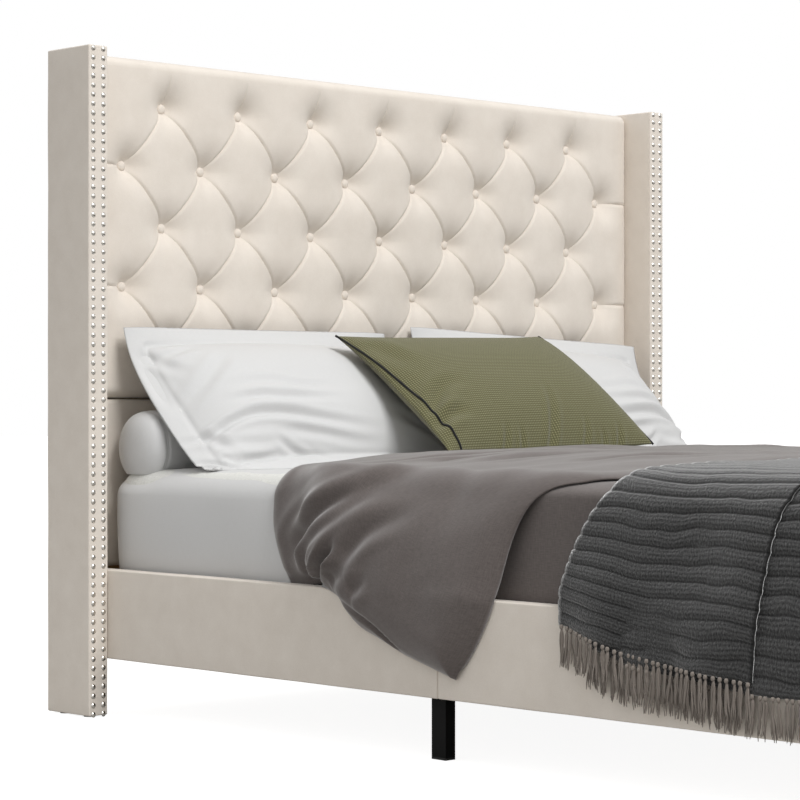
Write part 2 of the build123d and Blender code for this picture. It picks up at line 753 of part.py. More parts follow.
def make_pillows():
    """Two sleeping pillows, the accent pillow with its piping, and the roll behind them."""
    reach = roll_half_length + cut_overrun
    resting = block((-reach, reach), (-half_length, half_length),
                    (bed_top - cut_overrun - cut_overrun, bed_top))
    core = cushion(pillow_width - 2 * pillow_flange_width, pillow_height - 2 * pillow_flange_width,
                   pillow_front, pillow_back, pillow_side_draw, pillow_flange_thickness / 2)
    flange = cushion(pillow_width, pillow_height, pillow_flange_thickness,
                     pillow_flange_thickness, pillow_side_draw, pillow_flange_thickness / 2)
    pillow = core + flange
    places = {"left": leaning(-pillow_place, pillow_drop, pillow_lift, pillow_slope, 0),
              "right": leaning(pillow_place, pillow_drop, pillow_lift, pillow_slope,
                               pillow_right_turn)}
    nodes = {f"pillow_{side}": place * pillow - resting for side, place in places.items()}
    accent_location = leaning(accent_place, accent_drop, accent_lift, accent_slope, accent_turn)
    accent = cushion(accent_width, accent_height, accent_front, accent_back, accent_side_draw,
                     piping_radius)
    nodes["accent_pillow"] = accent_location * accent
    half_x = accent_width / 2 + piping_radius + soft_clearance
    half_y = accent_height / 2
    inset = half_x - accent_side_draw
    sides = []
    for side in (-1, 1):
        path = ThreePointArc((side * half_x, -half_y, 0), (side * inset, 0, 0),
                             (side * half_x, half_y, 0))
        start = Plane(origin=path @ 0, z_dir=path % 0)
        sides.append(accent_location * sweep(start * Circle(piping_radius), path))
    nodes["accent_piping"] = sides
    roll_axis = bed_top + roll_radius - roll_sink
    profile_end = roll_half_length - roll_end_rise
    line = Polyline((0, 0), (0, roll_radius), (profile_end, roll_radius))
    dome = ThreePointArc((profile_end, roll_radius),
                         (roll_half_length - roll_end_rise / 4, roll_radius / 2),
                         (roll_half_length, 0))
    half_roll = revolve(make_face(Wire([*line.edges(), *dome.edges(),
                                        Line((roll_half_length, 0), (0, 0)).edge()])), Axis.X)
    roll = half_roll + mirror(half_roll, about=Plane.YZ)
    nodes["neck_roll"] = Pos(0, wing_front - roll_from_wing_front, roll_axis) * roll - resting
    return nodes


def drape_stations(low, high, count, wave, wave_count, inner_line, outer_line):
    """Loft of a hanging cloth: its section is repeated along Y and waves below the mattress top."""
    wires = []
    bottom = min(z for x, z in inner_line)
    for step in range(count + 1):
        y = low + (high - low) * step / count
        swell = wave * (1 - math.cos(2 * math.pi * wave_count * step / count)) / 2
        points = []
        for x, z in outer_line + inner_line[::-1]:
            depth_share = max(0, (mattress_top - z) / (mattress_top - bottom))
            points.append((x + swell * depth_share, y, z))
        wires.append(Wire.make_polygon(points, close=True))
    return Solid.make_loft(wires, ruled=True)


def prism_along_x(points, x_range):
    """Outline in the YZ plane carried along X."""
    low, high = x_range
    face = make_face(Wire.make_polygon([(low, y, z) for y, z in points], close=True))
    return extrude(face, amount=high - low, dir=(1, 0, 0))


def sheet_corner_cut():
    """How far a straight cut across the sheet's rounded edge starts from its corner."""
    return (mattress_edge_radius + sheet_thickness) * (2 - math.sqrt(2))


def make_duvet():
    """Duvet: a lower layer tucked inside the rails and an upper layer turned back over it."""
    side = mattress_width / 2 + sheet_thickness + soft_clearance
    chamfer = sheet_corner_cut()
    tuck_outer = side + duvet_tuck_thickness
    tuck_bottom = bed_top - duvet_tuck_depth
    top = bed_top + duvet_thickness
    crown = top + duvet_top_thickness
    half = [(side - chamfer, bed_top), (side, bed_top - chamfer), (side, tuck_bottom),
            (tuck_outer, tuck_bottom), (tuck_outer, top - chamfer),
            (tuck_outer - chamfer, top)]
    section = half + [(-x, z) for x, z in reversed(half)]
    foot = mattress_foot - sheet_thickness - soft_clearance - duvet_tuck_thickness
    face = make_face(Wire.make_polygon([(x, foot, z) for x, z in section], close=True))
    lower = extrude(face, amount=duvet_fold_place - foot, dir=(0, 1, 0))
    foot_flap = block((-side + mattress_corner_radius, side - mattress_corner_radius),
                      (foot, foot + duvet_tuck_thickness), (tuck_bottom, top))
    shoulder = side - 2 * chamfer
    upper = block((-shoulder, shoulder), (duvet_hem_place, duvet_fold_place), (top, crown))
    hang_inner = inner_half_width + duvet_overhang
    hang_outer = hang_inner + duvet_drape_thickness
    rail_shoulder = rail_top + duvet_drape_thickness
    tip = duvet_tip_height
    inner_line = [(shoulder - chamfer, top), (tuck_outer - chamfer, top - duvet_overhang),
                  (tuck_outer, top - chamfer - duvet_overhang), (hang_inner, rail_shoulder),
                  (hang_inner, tip)]
    outer_line = [(shoulder - chamfer, crown), (tuck_outer - chamfer / 2, crown - chamfer / 3),
                  (tuck_outer + chamfer / 2, top - chamfer),
                  (hang_outer, rail_shoulder + duvet_drape_thickness), (hang_outer, tip)]
    drape = drape_stations(duvet_hem_place, duvet_fold_place, 6 * duvet_wave_count, duvet_wave,
                           duvet_wave_count, inner_line, outer_line)
    tuck_start = duvet_fold_place - (crown - tuck_bottom) / 2
    tip_round = duvet_drape_thickness
    hem = [(duvet_fold_place, crown + cut_overrun), (duvet_fold_place, top - chamfer),
           (tuck_start, rail_top + soft_clearance), (duvet_tip_place + tip_round, tip),
           (duvet_tip_place - tip_round, tip), (duvet_tip_place - 2 * chamfer, rail_top),
           (duvet_hem_place + chamfer, top - 2 * chamfer), (duvet_hem_place, crown + cut_overrun)]
    drape &= prism_along_x(hem, (0, half_width))
    nose_radius = (crown - bed_top) / 2
    nose = Pos(0, duvet_fold_place, bed_top + nose_radius) * Rot(0, 90, 0) * Cylinder(
        nose_radius, 2 * shoulder)
    return lower + foot_flap + upper + both_sides(drape) + nose


def throw_hem(y):
    """Height of the throw's hem where it hangs, falling a little towards the foot."""
    return throw_hem_height + throw_hem_slope * (y - throw_head_place - throw_flare)


def make_throw():
    """Folded throw across the foot end, hanging over both rails, with its fringe."""
    side = mattress_width / 2 + sheet_thickness + soft_clearance + duvet_tuck_thickness
    chamfer = sheet_corner_cut()
    top = bed_top + duvet_thickness + soft_clearance
    hang_inner = inner_half_width + duvet_overhang
    hang_outer = hang_inner + throw_thickness
    rail_shoulder = rail_top + duvet_drape_thickness
    low = throw_foot_place
    high = throw_head_place + throw_flare
    bottom = throw_hem(low)
    inner_line = [(0, top), (side - chamfer, top), (side + soft_clearance, top - chamfer),
                  (hang_inner, rail_shoulder), (hang_inner, bottom)]
    outer_line = [(0, top + throw_thickness), (side - chamfer / 2, top + throw_thickness),
                  (side + throw_thickness, top - chamfer),
                  (hang_outer, rail_shoulder + throw_thickness), (hang_outer, bottom)]
    drape = drape_stations(low, high, 4 * throw_wave_count, throw_wave, throw_wave_count,
                           inner_line, outer_line)
    edge = [(low, top + cut_overrun), (low, throw_hem(low)), (high, throw_hem(high)),
            (high - chamfer, rail_top), (throw_head_place + throw_flare / 3, top - 2 * chamfer),
            (throw_head_place, top - soft_clearance), (throw_head_place, top + cut_overrun)]
    drape &= prism_along_x(edge, (0, half_width))
    throw = drape + mirror(drape, about=Plane.YZ)
    fringes = []
    layers = ((hang_outer - fringe_thickness, 0), (hang_inner, fringe_under_drop))
    for x, drop in layers:
        fringe = prism_along_x(fringe_outline(low, high, drop), (x, x + fringe_thickness))
        fringes += both_sides(fringe)
    return {"throw_blanket": throw, "throw_fringe": fringes}


def fringe_outline(low, high, drop):
    """Comb of tassels under the hem: a level root band and one tapered tassel per pitch."""
    count = int((high - low) / fringe_pitch)
    root = fringe_pitch * fringe_root_share
    tip = fringe_pitch * fringe_tip_share
    band = fringe_length / 8
    points = [(high, throw_hem(high)), (low, throw_hem(low))]
    for step in range(count):
        middle = low + (step + 1 / 2) * fringe_pitch
        hem = throw_hem(middle)
        bottom = hem - fringe_length - drop
        points += [(middle - root / 2, hem - band), (middle - tip / 2, bottom),
                   (middle + tip / 2, bottom), (middle + root / 2, hem - band)]
    last_hem = throw_hem(high)
    points.append((high, last_hem - band))
    return points


def make_bedding():
    """Mattress, fitted sheet, pillows, duvet and throw."""
    mattress = mattress_form(0, slat_top)
    outer = mattress_form(sheet_thickness, slat_top)
    nodes = {"mattress": mattress, "fitted_sheet": outer - mattress, "duvet": make_duvet()}
    nodes.update(make_pillows())
    nodes.update(make_throw())
    return nodes


def main():
    """Write every sub-part to its own STEP file."""
    os.makedirs("parts", exist_ok=True)
    nodes = make_base()
    nodes.update(make_bedding())
    for name, shape in nodes.items():
        shapes = shape if isinstance(shape, list) else [shape]
        export_step(group(shapes), f"parts/{name}.step")
    print(len(nodes), "sub-parts written")


main()
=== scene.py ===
"""Wingback bed with a diamond tufted headboard, dressed with its bedding.

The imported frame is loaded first. Every soft piece is worked out here with numpy, in metres, in
the frame's own coordinates: +Y is the head end, +Z is up and -X is the side nearest the camera.
"""
import functools
import json
import logging
import math
from collections.abc import Callable
from dataclasses import dataclass
from enum import Enum

import bpy
import numpy as np
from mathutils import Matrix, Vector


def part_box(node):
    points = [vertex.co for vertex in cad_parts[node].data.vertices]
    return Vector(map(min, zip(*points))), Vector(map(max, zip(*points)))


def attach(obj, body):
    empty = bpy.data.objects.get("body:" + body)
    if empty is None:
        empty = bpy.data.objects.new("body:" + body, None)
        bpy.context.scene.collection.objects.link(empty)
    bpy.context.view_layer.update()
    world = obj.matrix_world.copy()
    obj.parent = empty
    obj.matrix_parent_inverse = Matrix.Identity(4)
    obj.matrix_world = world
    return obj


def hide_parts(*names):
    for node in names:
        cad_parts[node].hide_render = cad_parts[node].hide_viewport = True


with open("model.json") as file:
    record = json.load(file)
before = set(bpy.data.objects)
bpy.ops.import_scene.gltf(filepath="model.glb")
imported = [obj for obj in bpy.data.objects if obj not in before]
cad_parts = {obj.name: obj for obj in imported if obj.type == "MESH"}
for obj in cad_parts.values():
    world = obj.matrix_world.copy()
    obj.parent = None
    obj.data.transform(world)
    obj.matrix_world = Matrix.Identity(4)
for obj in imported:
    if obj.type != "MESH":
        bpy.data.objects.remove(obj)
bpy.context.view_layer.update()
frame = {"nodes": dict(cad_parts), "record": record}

log = logging.getLogger("bed")
logging.basicConfig(level=logging.INFO, format="%(message)s")

MM = 0.001


class Body(Enum):
    """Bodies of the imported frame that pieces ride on."""

    FRAME = "frame"
    MATTRESS = "mattress_set"
    PILLOWS = "pillows"


class Side(Enum):
    """Sides of the bed, by the sign of X."""

    NEAR = -1
    FAR = 1


def linear(code: str) -> tuple[float, float, float, float]:
    """Turns an sRGB hex colour into linear values.

    Args:
        code: six hex digits after a hash.
    Returns:
        Red, green, blue and an alpha of one.
    """
    parts = np.array([int(code[place:place + 2], 16) for place in (1, 3, 5)]) / 255
    values = np.where(parts <= 0.04045, parts / 12.92, ((parts + 0.055) / 1.055) ** 2.4)
    return (*values.tolist(), 1.0)


def add_node(tree: bpy.types.NodeTree, kind: str, inputs: dict | None = None,
             stops: tuple = (), **settings: object) -> bpy.types.Node:
    """Adds one shader node with its settings, values and links.

    Args:
        tree: node tree that gets the node.
        kind: the node's type name without its ShaderNode.
        inputs: input name or number to a value, or to the output that feeds it.
        stops: place and hex colour of each stop, for a node with a colour ramp.
        settings: attributes of the node.
    Returns:
        The new node.
    """
    item = tree.nodes.new(f"ShaderNode{kind}")
    for name, value in settings.items():
        setattr(item, name, value)
    elements = item.color_ramp.elements if stops else ()
    while len(elements) < len(stops):
        elements.new(0.5)
    for element, (place, code) in zip(elements, stops):
        element.position = place
        element.color = linear(code)
    for socket, value in (inputs or {}).items():
        if isinstance(value, bpy.types.NodeSocket):
            tree.links.new(value, item.inputs[socket])
        else:
            item.inputs[socket].default_value = value
    return item


@dataclass(frozen=True)
class Finish:
    """Finish of a real material, between a lighter and a darker colour."""

    name: str
    light: str
    dark: str

    def sockets(self, tree: bpy.types.NodeTree) -> dict:
        """Adds the finish's pattern. Each kind of finish has its own.

        Args:
            tree: the material's node tree.
        Returns:
            A constant, or the output that feeds it, for each socket of the shader.
        """
        raise NotImplementedError

    def build(self) -> bpy.types.Material:
        """Makes a material with a Principled shader that takes the finish's sockets.

        Returns:
            The material.
        """
        material = bpy.data.materials.new(self.name)
        material.use_nodes = True
        tree = material.node_tree
        tree.nodes.clear()
        shader = add_node(tree, "BsdfPrincipled", self.sockets(tree))
        add_node(tree, "OutputMaterial", {"Surface": shader.outputs["BSDF"]})
        return material


@dataclass(frozen=True)
class PileFabric(Finish):
    """Short velvet-like upholstery cloth: matt, with a soft sheen and a faint mottle of the nap."""

    grain: float = 1.6 * MM
    mottle: float = 45 * MM
    bump: float = 0.10
    roughness: float = 0.88
    sheen: float = 0.25
    bump_height: float = 0.6 * MM

    def sockets(self, tree: bpy.types.NodeTree) -> dict:
        """Mixes a fine pile with a soft mottle of the nap.

        Args:
            tree: the material's node tree.
        Returns:
            What each socket of the shader takes.
        """
        place = add_node(tree, "TexCoord").outputs["Object"]
        fine = add_node(tree, "TexNoise", {
            "Vector": place, "Scale": 1 / self.grain, "Detail": 2.0, "Roughness": 0.6})
        nap = add_node(tree, "TexNoise", {
            "Vector": place, "Scale": 1 / self.mottle, "Detail": 3.0, "Roughness": 0.55})
        both = add_node(tree, "Mix", {
            "Factor": 0.45, "A": nap.outputs["Fac"], "B": fine.outputs["Fac"]})
        colour = add_node(tree, "ValToRGB", {"Fac": both.outputs["Result"]},
                          stops=((0.3, self.dark), (0.7, self.light))).outputs["Color"]
        bump = add_node(tree, "Bump", {
            "Height": fine.outputs["Fac"], "Strength": self.bump, "Distance": self.bump_height})
        return {"Base Color": colour, "Normal": bump.outputs["Normal"],
                "Roughness": self.roughness, "Sheen Weight": self.sheen,
                "Sheen Roughness": 0.4, "Specular IOR Level": 0.25}


@dataclass(frozen=True)
class WovenCloth(Finish):
    """Plain woven cloth: two sets of threads that cross, drawn along the piece's own UV map."""

    thread: float = 1.5 * MM
    slub: float = 14 * MM
    bump: float = 0.25
    roughness: float = 0.85
    sheen: float = 0.15
    contrast: float = 0.35
    bump_height: float = 0.8 * MM

    def sockets(self, tree: bpy.types.NodeTree) -> dict:
        """Adds noise stretched along the warp to noise stretched along the weft.

        Args:
            tree: the material's node tree.
        Returns:
            What each socket of the shader takes.
        """
        place = add_node(tree, "TexCoord").outputs["UV"]
        long = add_node(tree, "Mapping", {
            "Vector": place, "Scale": (1 / self.thread, 1 / self.slub, 1.0)})
        across = add_node(tree, "Mapping", {
            "Vector": place, "Scale": (1 / self.slub, 1 / self.thread, 1.0)})
        warp = add_node(tree, "TexNoise", {
            "Vector": long.outputs[0], "Scale": 1.0, "Detail": 1.0})
        weft = add_node(tree, "TexNoise", {
            "Vector": across.outputs[0], "Scale": 1.0, "Detail": 1.0})
        weave = add_node(tree, "Math", {
            0: warp.outputs["Fac"], 1: weft.outputs["Fac"]}, operation="ADD")
        half = add_node(tree, "Math", {0: weave.outputs[0], 1: 0.5},
                        operation="MULTIPLY")
        spread = self.contrast / 2
        stops = ((0.5 - spread, self.dark), (0.5 + spread, self.light))
        colour = add_node(tree, "ValToRGB", {"Fac": half.outputs[0]},
                          stops=stops).outputs["Color"]
        bump = add_node(tree, "Bump", {
            "Height": half.outputs[0], "Strength": self.bump, "Distance": self.bump_height})
        return {"Base Color": colour, "Normal": bump.outputs["Normal"],
                "Roughness": self.roughness, "Sheen Weight": self.sheen,
                "Sheen Roughness": 0.45, "Specular IOR Level": 0.3}


@dataclass(frozen=True)
class WaffleCloth(Finish):
    """Waffle weave: square cells with raised walls, drawn along the piece's own UV map."""

    cell: float = 7 * MM
    bump: float = 0.8
    bump_height: float = 1.2 * MM

    def sockets(self, tree: bpy.types.NodeTree) -> dict:
        """Multiplies two sets of waves, which leaves square cells with raised walls, and paints
        shade where the weave is low.

        Args:
            tree: the material's node tree.
        Returns:
            What each socket of the shader takes.
        """
        place = add_node(tree, "TexCoord").outputs["UV"]
        walls = [add_node(tree, "TexWave", {
            "Vector": place, "Scale": 2 * math.pi / (self.cell * 20), "Distortion": 0.2,
            "Detail": 1.0, "Detail Scale": 2.0}, bands_direction=way).outputs["Fac"]
            for way in ("X", "Y")]
        height = add_node(tree, "Math", {0: walls[0], 1: walls[1]}, operation="MULTIPLY")
        # Painted shade: the colour is darker where the weave is low
        colour = add_node(tree, "ValToRGB", {"Fac": height.outputs[0]},
                          stops=((0.0, self.dark), (0.6, self.light))).outputs["Color"]
        bump = add_node(tree, "Bump", {
            "Height": height.outputs[0], "Strength": self.bump, "Distance": self.bump_height})
        return {"Base Color": colour, "Normal": bump.outputs["Normal"],
                "Roughness": 0.9, "Sheen Weight": 0.2,
                "Sheen Roughness": 0.5, "Specular IOR Level": 0.2}


@dataclass(frozen=True)
class RibKnit(Finish):
    """Chunky knit: rows of stitches with flecks of a paler yarn, with painted shade down in the
    grooves.
    """

    # Colour of the painted shade down in the grooves and along the foot edge
    groove: str
    stitch: float = 5.5 * MM
    row: float = 7 * MM
    bump: float = 0.8
    bump_height: float = 2 * MM

    def sockets(self, tree: bpy.types.NodeTree) -> dict:
        """Flecks rows of stitches, and paints shade on them by the piece's own groove attribute.

        Args:
            tree: the material's node tree.
        Returns:
            What each socket of the shader takes.
        """
        place = add_node(tree, "TexCoord").outputs["UV"]
        loops = add_node(tree, "Mapping", {
            "Vector": place, "Scale": (1 / self.stitch, 1 / self.row, 1.0)})
        flecks = add_node(tree, "TexNoise", {
            "Vector": loops.outputs[0], "Scale": 1.6, "Detail": 2.0, "Roughness": 0.75})
        rows = add_node(tree, "TexWave", {
            "Vector": place, "Scale": 2 * math.pi / (self.row * 20), "Distortion": 0.4,
            "Detail": 1.0, "Detail Scale": 3.0}, bands_direction="Y")
        mixed = add_node(tree, "Math", {
            0: rows.outputs["Fac"], 1: 0.18, 2: flecks.outputs["Fac"]},
            operation="MULTIPLY_ADD")
        tone = add_node(tree, "ValToRGB", {"Fac": mixed.outputs[0]},
                        stops=((0.46, self.dark), (0.78, self.light))).outputs["Color"]
        # Painted shade: the groove attribute mixes in the groove colour where shade would fall
        depth = add_node(tree, "Attribute", {}, attribute_name="groove")
        shade = add_node(tree, "Mix", {
            "Factor": depth.outputs["Fac"], "A": tone, "B": linear(self.groove)},
            data_type="RGBA")
        bump = add_node(tree, "Bump", {
            "Height": mixed.outputs[0], "Strength": self.bump, "Distance": self.bump_height})
        return {"Base Color": shade.outputs["Result"], "Normal": bump.outputs["Normal"],
                "Roughness": 0.95, "Sheen Weight": 1.0,
                "Sheen Roughness": 0.46, "Specular IOR Level": 0.15}


@dataclass(frozen=True)
class SawnTimber(Finish):
    """Planed softwood or plywood: grain stretched along the board."""

    stretch: tuple[float, float, float] = (60.0, 4.0, 60.0)
    bump: float = 0.2
    bump_height: float = 0.3 * MM

    def sockets(self, tree: bpy.types.NodeTree) -> dict:
        """Stretches noise along the grain.

        Args:
            tree: the material's node tree.
        Returns:
            What each socket of the shader takes.
        """
        place = add_node(tree, "TexCoord").outputs["Object"]
        along = add_node(tree, "Mapping", {"Vector": place, "Scale": self.stretch})
        grain = add_node(tree, "TexNoise", {
            "Vector": along.outputs[0], "Scale": 1.0, "Detail": 5.0, "Distortion": 0.6})
        colour = add_node(tree, "ValToRGB", {"Fac": grain.outputs["Fac"]},
                          stops=((0.35, self.dark), (0.65, self.light))).outputs["Color"]
        bump = add_node(tree, "Bump", {
            "Height": grain.outputs["Fac"], "Strength": self.bump, "Distance": self.bump_height})
        return {"Base Color": colour, "Normal": bump.outputs["Normal"],
                "Roughness": 0.62}


@dataclass(frozen=True)
class HardFinish(Finish):
    """Powder coat, plating or moulded plastic: an even colour with a fine grain in its gloss."""

    metallic: float = 0.0
    roughness: float = 0.4
    specular: float = 0.5
    grain: float = 1.5 * MM
    bump: float = 0.06
    bump_height: float = 0.2 * MM

    def sockets(self, tree: bpy.types.NodeTree) -> dict:
        """Varies colour, gloss and bump by one fine even grain.

        Args:
            tree: the material's node tree.
        Returns:
            What each socket of the shader takes.
        """
        place = add_node(tree, "TexCoord").outputs["Object"]
        grain = add_node(tree, "TexNoise", {
            "Vector": place, "Scale": 1 / self.grain, "Detail": 2.0})
        colour = add_node(tree, "ValToRGB", {"Fac": grain.outputs["Fac"]},
                          stops=((0.3, self.dark), (0.7, self.light))).outputs["Color"]
        gloss = add_node(tree, "MapRange", {
            "Value": grain.outputs["Fac"], "To Min": self.roughness * 0.85,
            "To Max": self.roughness * 1.15})
        bump = add_node(tree, "Bump", {
            "Height": grain.outputs["Fac"], "Strength": self.bump, "Distance": self.bump_height})
        return {"Base Color": colour, "Normal": bump.outputs["Normal"],
                "Roughness": gloss.outputs["Result"],
                "Metallic": self.metallic, "Specular IOR Level": self.specular}


# Threads and pile are drawn coarser than the real ones, which are too fine to show.
FINISHES: dict[str, Finish] = {
    # Matt cream that glows softly where the nap is seen edge on
    "cream_upholstery": PileFabric("Polyester velvet, cream", "#E6DED4", "#DCD3C8"),
    # Smooth cool white with hardly any weave
    "white_cotton": WovenCloth(
        "Cotton percale, white", "#CFCFCE", "#D2D2D2", thread=1.4 * MM, bump=0.06),
    # Matt and slubby, paler where it is seen edge on
    "taupe_linen": WovenCloth(
        "Washed linen, taupe", "#675F5C", "#58514E", thread=1.7 * MM, sheen=0.55),
    # Small square cells, each with painted shade in its low part
    "olive_weave": WaffleCloth(
        "Cotton waffle weave, olive", "#868462", "#57553A", cell=5 * MM),
    # Very dark and soft, with a pale bloom where it turns away; the third colour is painted groove
    # shade
    "charcoal_knit": RibKnit("Acrylic rib knit, charcoal", "#474747", "#0D0D0D", "#060606"),
    # Dull soft strands
    "taupe_yarn": WovenCloth(
        "Twisted acrylic yarn, taupe", "#9E958D", "#6E665F", thread=1.6 * MM),
    # Dull black with a tight weave
    "black_piping": WovenCloth(
        "Cotton cording, black", "#232323", "#121212", thread=1.2 * MM),
    # Dense white with a slight roughness
    "mattress_ticking": WovenCloth(
        "Knitted mattress ticking", "#E6E6E2", "#CFCFCA", thread=2.2 * MM),
    # Thin dull felt
    "dust_cover": PileFabric(
        "Spunbond dust cover", "#D8CFC2", "#C6BBAD", bump=0.15, sheen=0.0),
    # Warm yellow with long streaks
    "pine_timber": SawnTimber("Planed pine", "#D9B98A", "#B8925F"),
    # Paler wood whose streaks run across the bed
    "plywood": SawnTimber("Birch plywood", "#CDAE82", "#B18E60", stretch=(6.0, 60.0, 60.0)),
    # Bright domes that mirror the room
    "nickel_nails": HardFinish(
        "Polished nickel plate", "#D9D6D0", "#C9C5BE", metallic=1.0, roughness=0.16,
        grain=3 * MM, bump=0.02),
    # Dull black with hardly any shine
    "black_steel": HardFinish(
        "Black powder coat", "#161616", "#0E0E0E", roughness=0.5, specular=0.12),
    # Grey metal with a satin shine
    "zinc_steel": HardFinish(
        "Zinc plated steel", "#C3C6C8", "#9EA2A5", metallic=1.0, roughness=0.35),
    # Black with a soft shine
    "black_plastic": HardFinish(
        "Moulded polypropylene, black", "#1A1A1A", "#121212", roughness=0.5),
}


@functools.cache
def material_of(slot: str) -> bpy.types.Material:
    """Material of a slot's finish, built the first time it is asked for."""
    return FINISHES[slot].build()


def circle(count: int) -> np.ndarray:
    """Evenly spaced angles round a whole circle."""
    return np.linspace(0, 2 * math.pi, count, endpoint=False)


def grid_quads(rows: int, columns: int, wrap_rows: bool = False,
               wrap_columns: bool = False) -> np.ndarray:
    """Corner numbers of every quad of a grid whose points are numbered row by row.

    Args:
        rows: points along the first parameter.
        columns: points along the second parameter.
        wrap_rows: joins the last row to the first.
        wrap_columns: joins the last column to the first.
    Returns:
        One row of four corner numbers for each quad.
    """
    row = np.arange(rows if wrap_rows else rows - 1)[:, None]
    column = np.arange(columns if wrap_columns else columns - 1)[None, :]
    next_row, next_column = (row + 1) % rows, (column + 1) % columns
    corners = [row * columns + column, next_row * columns + column,
               next_row * columns + next_column, row * columns + next_column]
    return np.stack([np.broadcast_to(c, np.broadcast_shapes(row.shape, column.shape))
                     for c in corners], -1).reshape(-1, 4)


def copied_faces(quads: np.ndarray, caps: list[np.ndarray], size: int, count: int,
                 first: int = 0) -> tuple[np.ndarray, list[np.ndarray]]:
    """Corner numbers of many copies of one small form.

    Args:
        quads: the form's quads.
        caps: its further faces, in groups whose faces have as many corners.
        size: how many points the form has.
        count: how many copies there are.
        first: number of the first copy's first point.
    Returns:
        The quads of all copies and a list of all their further faces.
    """
    shift = first + (np.arange(count) * size)[:, None, None]
    faces = [face for group in map(np.atleast_2d, caps)
             for face in (group + shift).reshape(-1, group.shape[1])]
    return (quads + shift).reshape(-1, 4), faces


def make_piece(name: str, points: np.ndarray, quads: np.ndarray, body: Body, slot: str,
               caps: list[np.ndarray] | None = None, uv: np.ndarray | None = None,
               flip: bool = False) -> bpy.types.Object:
    """Puts points and faces into a mesh object that rides on a body.

    Args:
        name: the piece's name.
        points: places of the vertices, in metres.
        quads: four corner numbers for each face.
        body: body it rides on.
        slot: the record's material slot it takes its finish from.
        caps: further faces with any number of corners.
        uv: a UV place in metres for each vertex.
        flip: turns every face over.
    Returns:
        The new object.
    """
    caps = caps or []
    if flip:
        quads, caps = quads[:, ::-1], [cap[::-1] for cap in caps]
    corner = np.concatenate([quads.reshape(-1), *caps]).astype(np.int32)
    totals = np.array([4] * len(quads) + [len(cap) for cap in caps])
    starts = np.concatenate([[0], np.cumsum(totals)[:-1]]).astype(np.int32)
    mesh = bpy.data.meshes.new(name)
    mesh.vertices.add(len(points))
    mesh.vertices.foreach_set("co", np.ascontiguousarray(points, np.float32).reshape(-1))
    mesh.loops.add(len(corner))
    mesh.loops.foreach_set("vertex_index", corner)
    mesh.polygons.add(len(totals))
    mesh.polygons.foreach_set("loop_start", starts)
    mesh.polygons.foreach_set("loop_total", totals.astype(np.int32))
    mesh.update(calc_edges=True)
    mesh.validate()
    mesh.polygons.foreach_set("use_smooth", np.ones(len(mesh.polygons), bool))
    if uv is not None:
        layer = mesh.uv_layers.new(name="UVMap")
        numbers = np.zeros(len(mesh.loops), np.int32)
        mesh.loops.foreach_get("vertex_index", numbers)
        layer.data.foreach_set("uv", np.ascontiguousarray(uv[numbers], np.float32).reshape(-1))
    mesh.materials.append(material_of(slot))
    piece = bpy.data.objects.new(name, mesh)
    bpy.context.scene.collection.objects.link(piece)
    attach(piece, body.value)
    log.info("%s: %d faces", name, len(mesh.polygons))
    return piece


def add_modifier(piece: bpy.types.Object, kind: str, **settings: object) -> None:
    """Adds one modifier with its settings.

    Args:
        piece: object that gets it.
        kind: the modifier's type.
        settings: attributes of the modifier.
    """
    item = piece.modifiers.new(kind.title(), kind)
    for name, value in settings.items():
        setattr(item, name, value)


def ripple(points: np.ndarray, length: float, amplitude: float, seed: int) -> np.ndarray:
    """Smooth unevenness: the sum of plane waves in seeded directions, scaled to its height.

    Args:
        points: places where it is read.
        length: wave length in metres; each wave's own is 0.7 to 1.6 times this.
        amplitude: height in metres.
        seed: number that the directions and phases come from.
    Returns:
        The height at each point.
    """
    random = np.random.default_rng(seed)
    count = 14
    ways = random.normal(size=(count, 3))
    ways /= np.linalg.norm(ways, axis=1, keepdims=True)
    lengths = length * random.uniform(0.7, 1.6, count)
    phases = random.uniform(0, 2 * math.pi, count)
    waves = np.sin(2 * math.pi * (points @ ways.T) / lengths + phases)
    return amplitude * waves.sum(-1) / math.sqrt(count)


def smooth(value: np.ndarray, low: float, high: float) -> np.ndarray:
    """Smooth step from zero at low to one at high: 3t^2 - 2t^3 of the clipped share t."""
    share = np.clip((value - low) / (high - low), 0, 1)
    return share * share * (3 - 2 * share)


def quarter_round(distance: np.ndarray, reach: float) -> np.ndarray:
    """Quarter circle profile: zero at no distance, one from reach on."""
    share = np.clip(distance / reach, 0, 1)
    return np.sqrt(np.clip(1 - (1 - share) ** 2, 0, 1))


def block_ticks(low: float, high: float, radius: float, step: float) -> np.ndarray:
    """Places along one axis of a rounded block: five round each edge, even steps between.

    Args:
        low: lowest place.
        high: highest place.
        radius: radius of the edges.
        step: longest step between the edges.
    Returns:
        The places in order.
    """
    bend = radius * (1 - np.tan(np.linspace(math.pi / 4, 0, 5)))
    count = max(2, math.ceil((high - low - 2 * radius) / step) + 1)
    inner = np.linspace(low + radius, high - radius, count)
    return np.concatenate([low + bend[:-1], inner, high - bend[::-1][1:]])


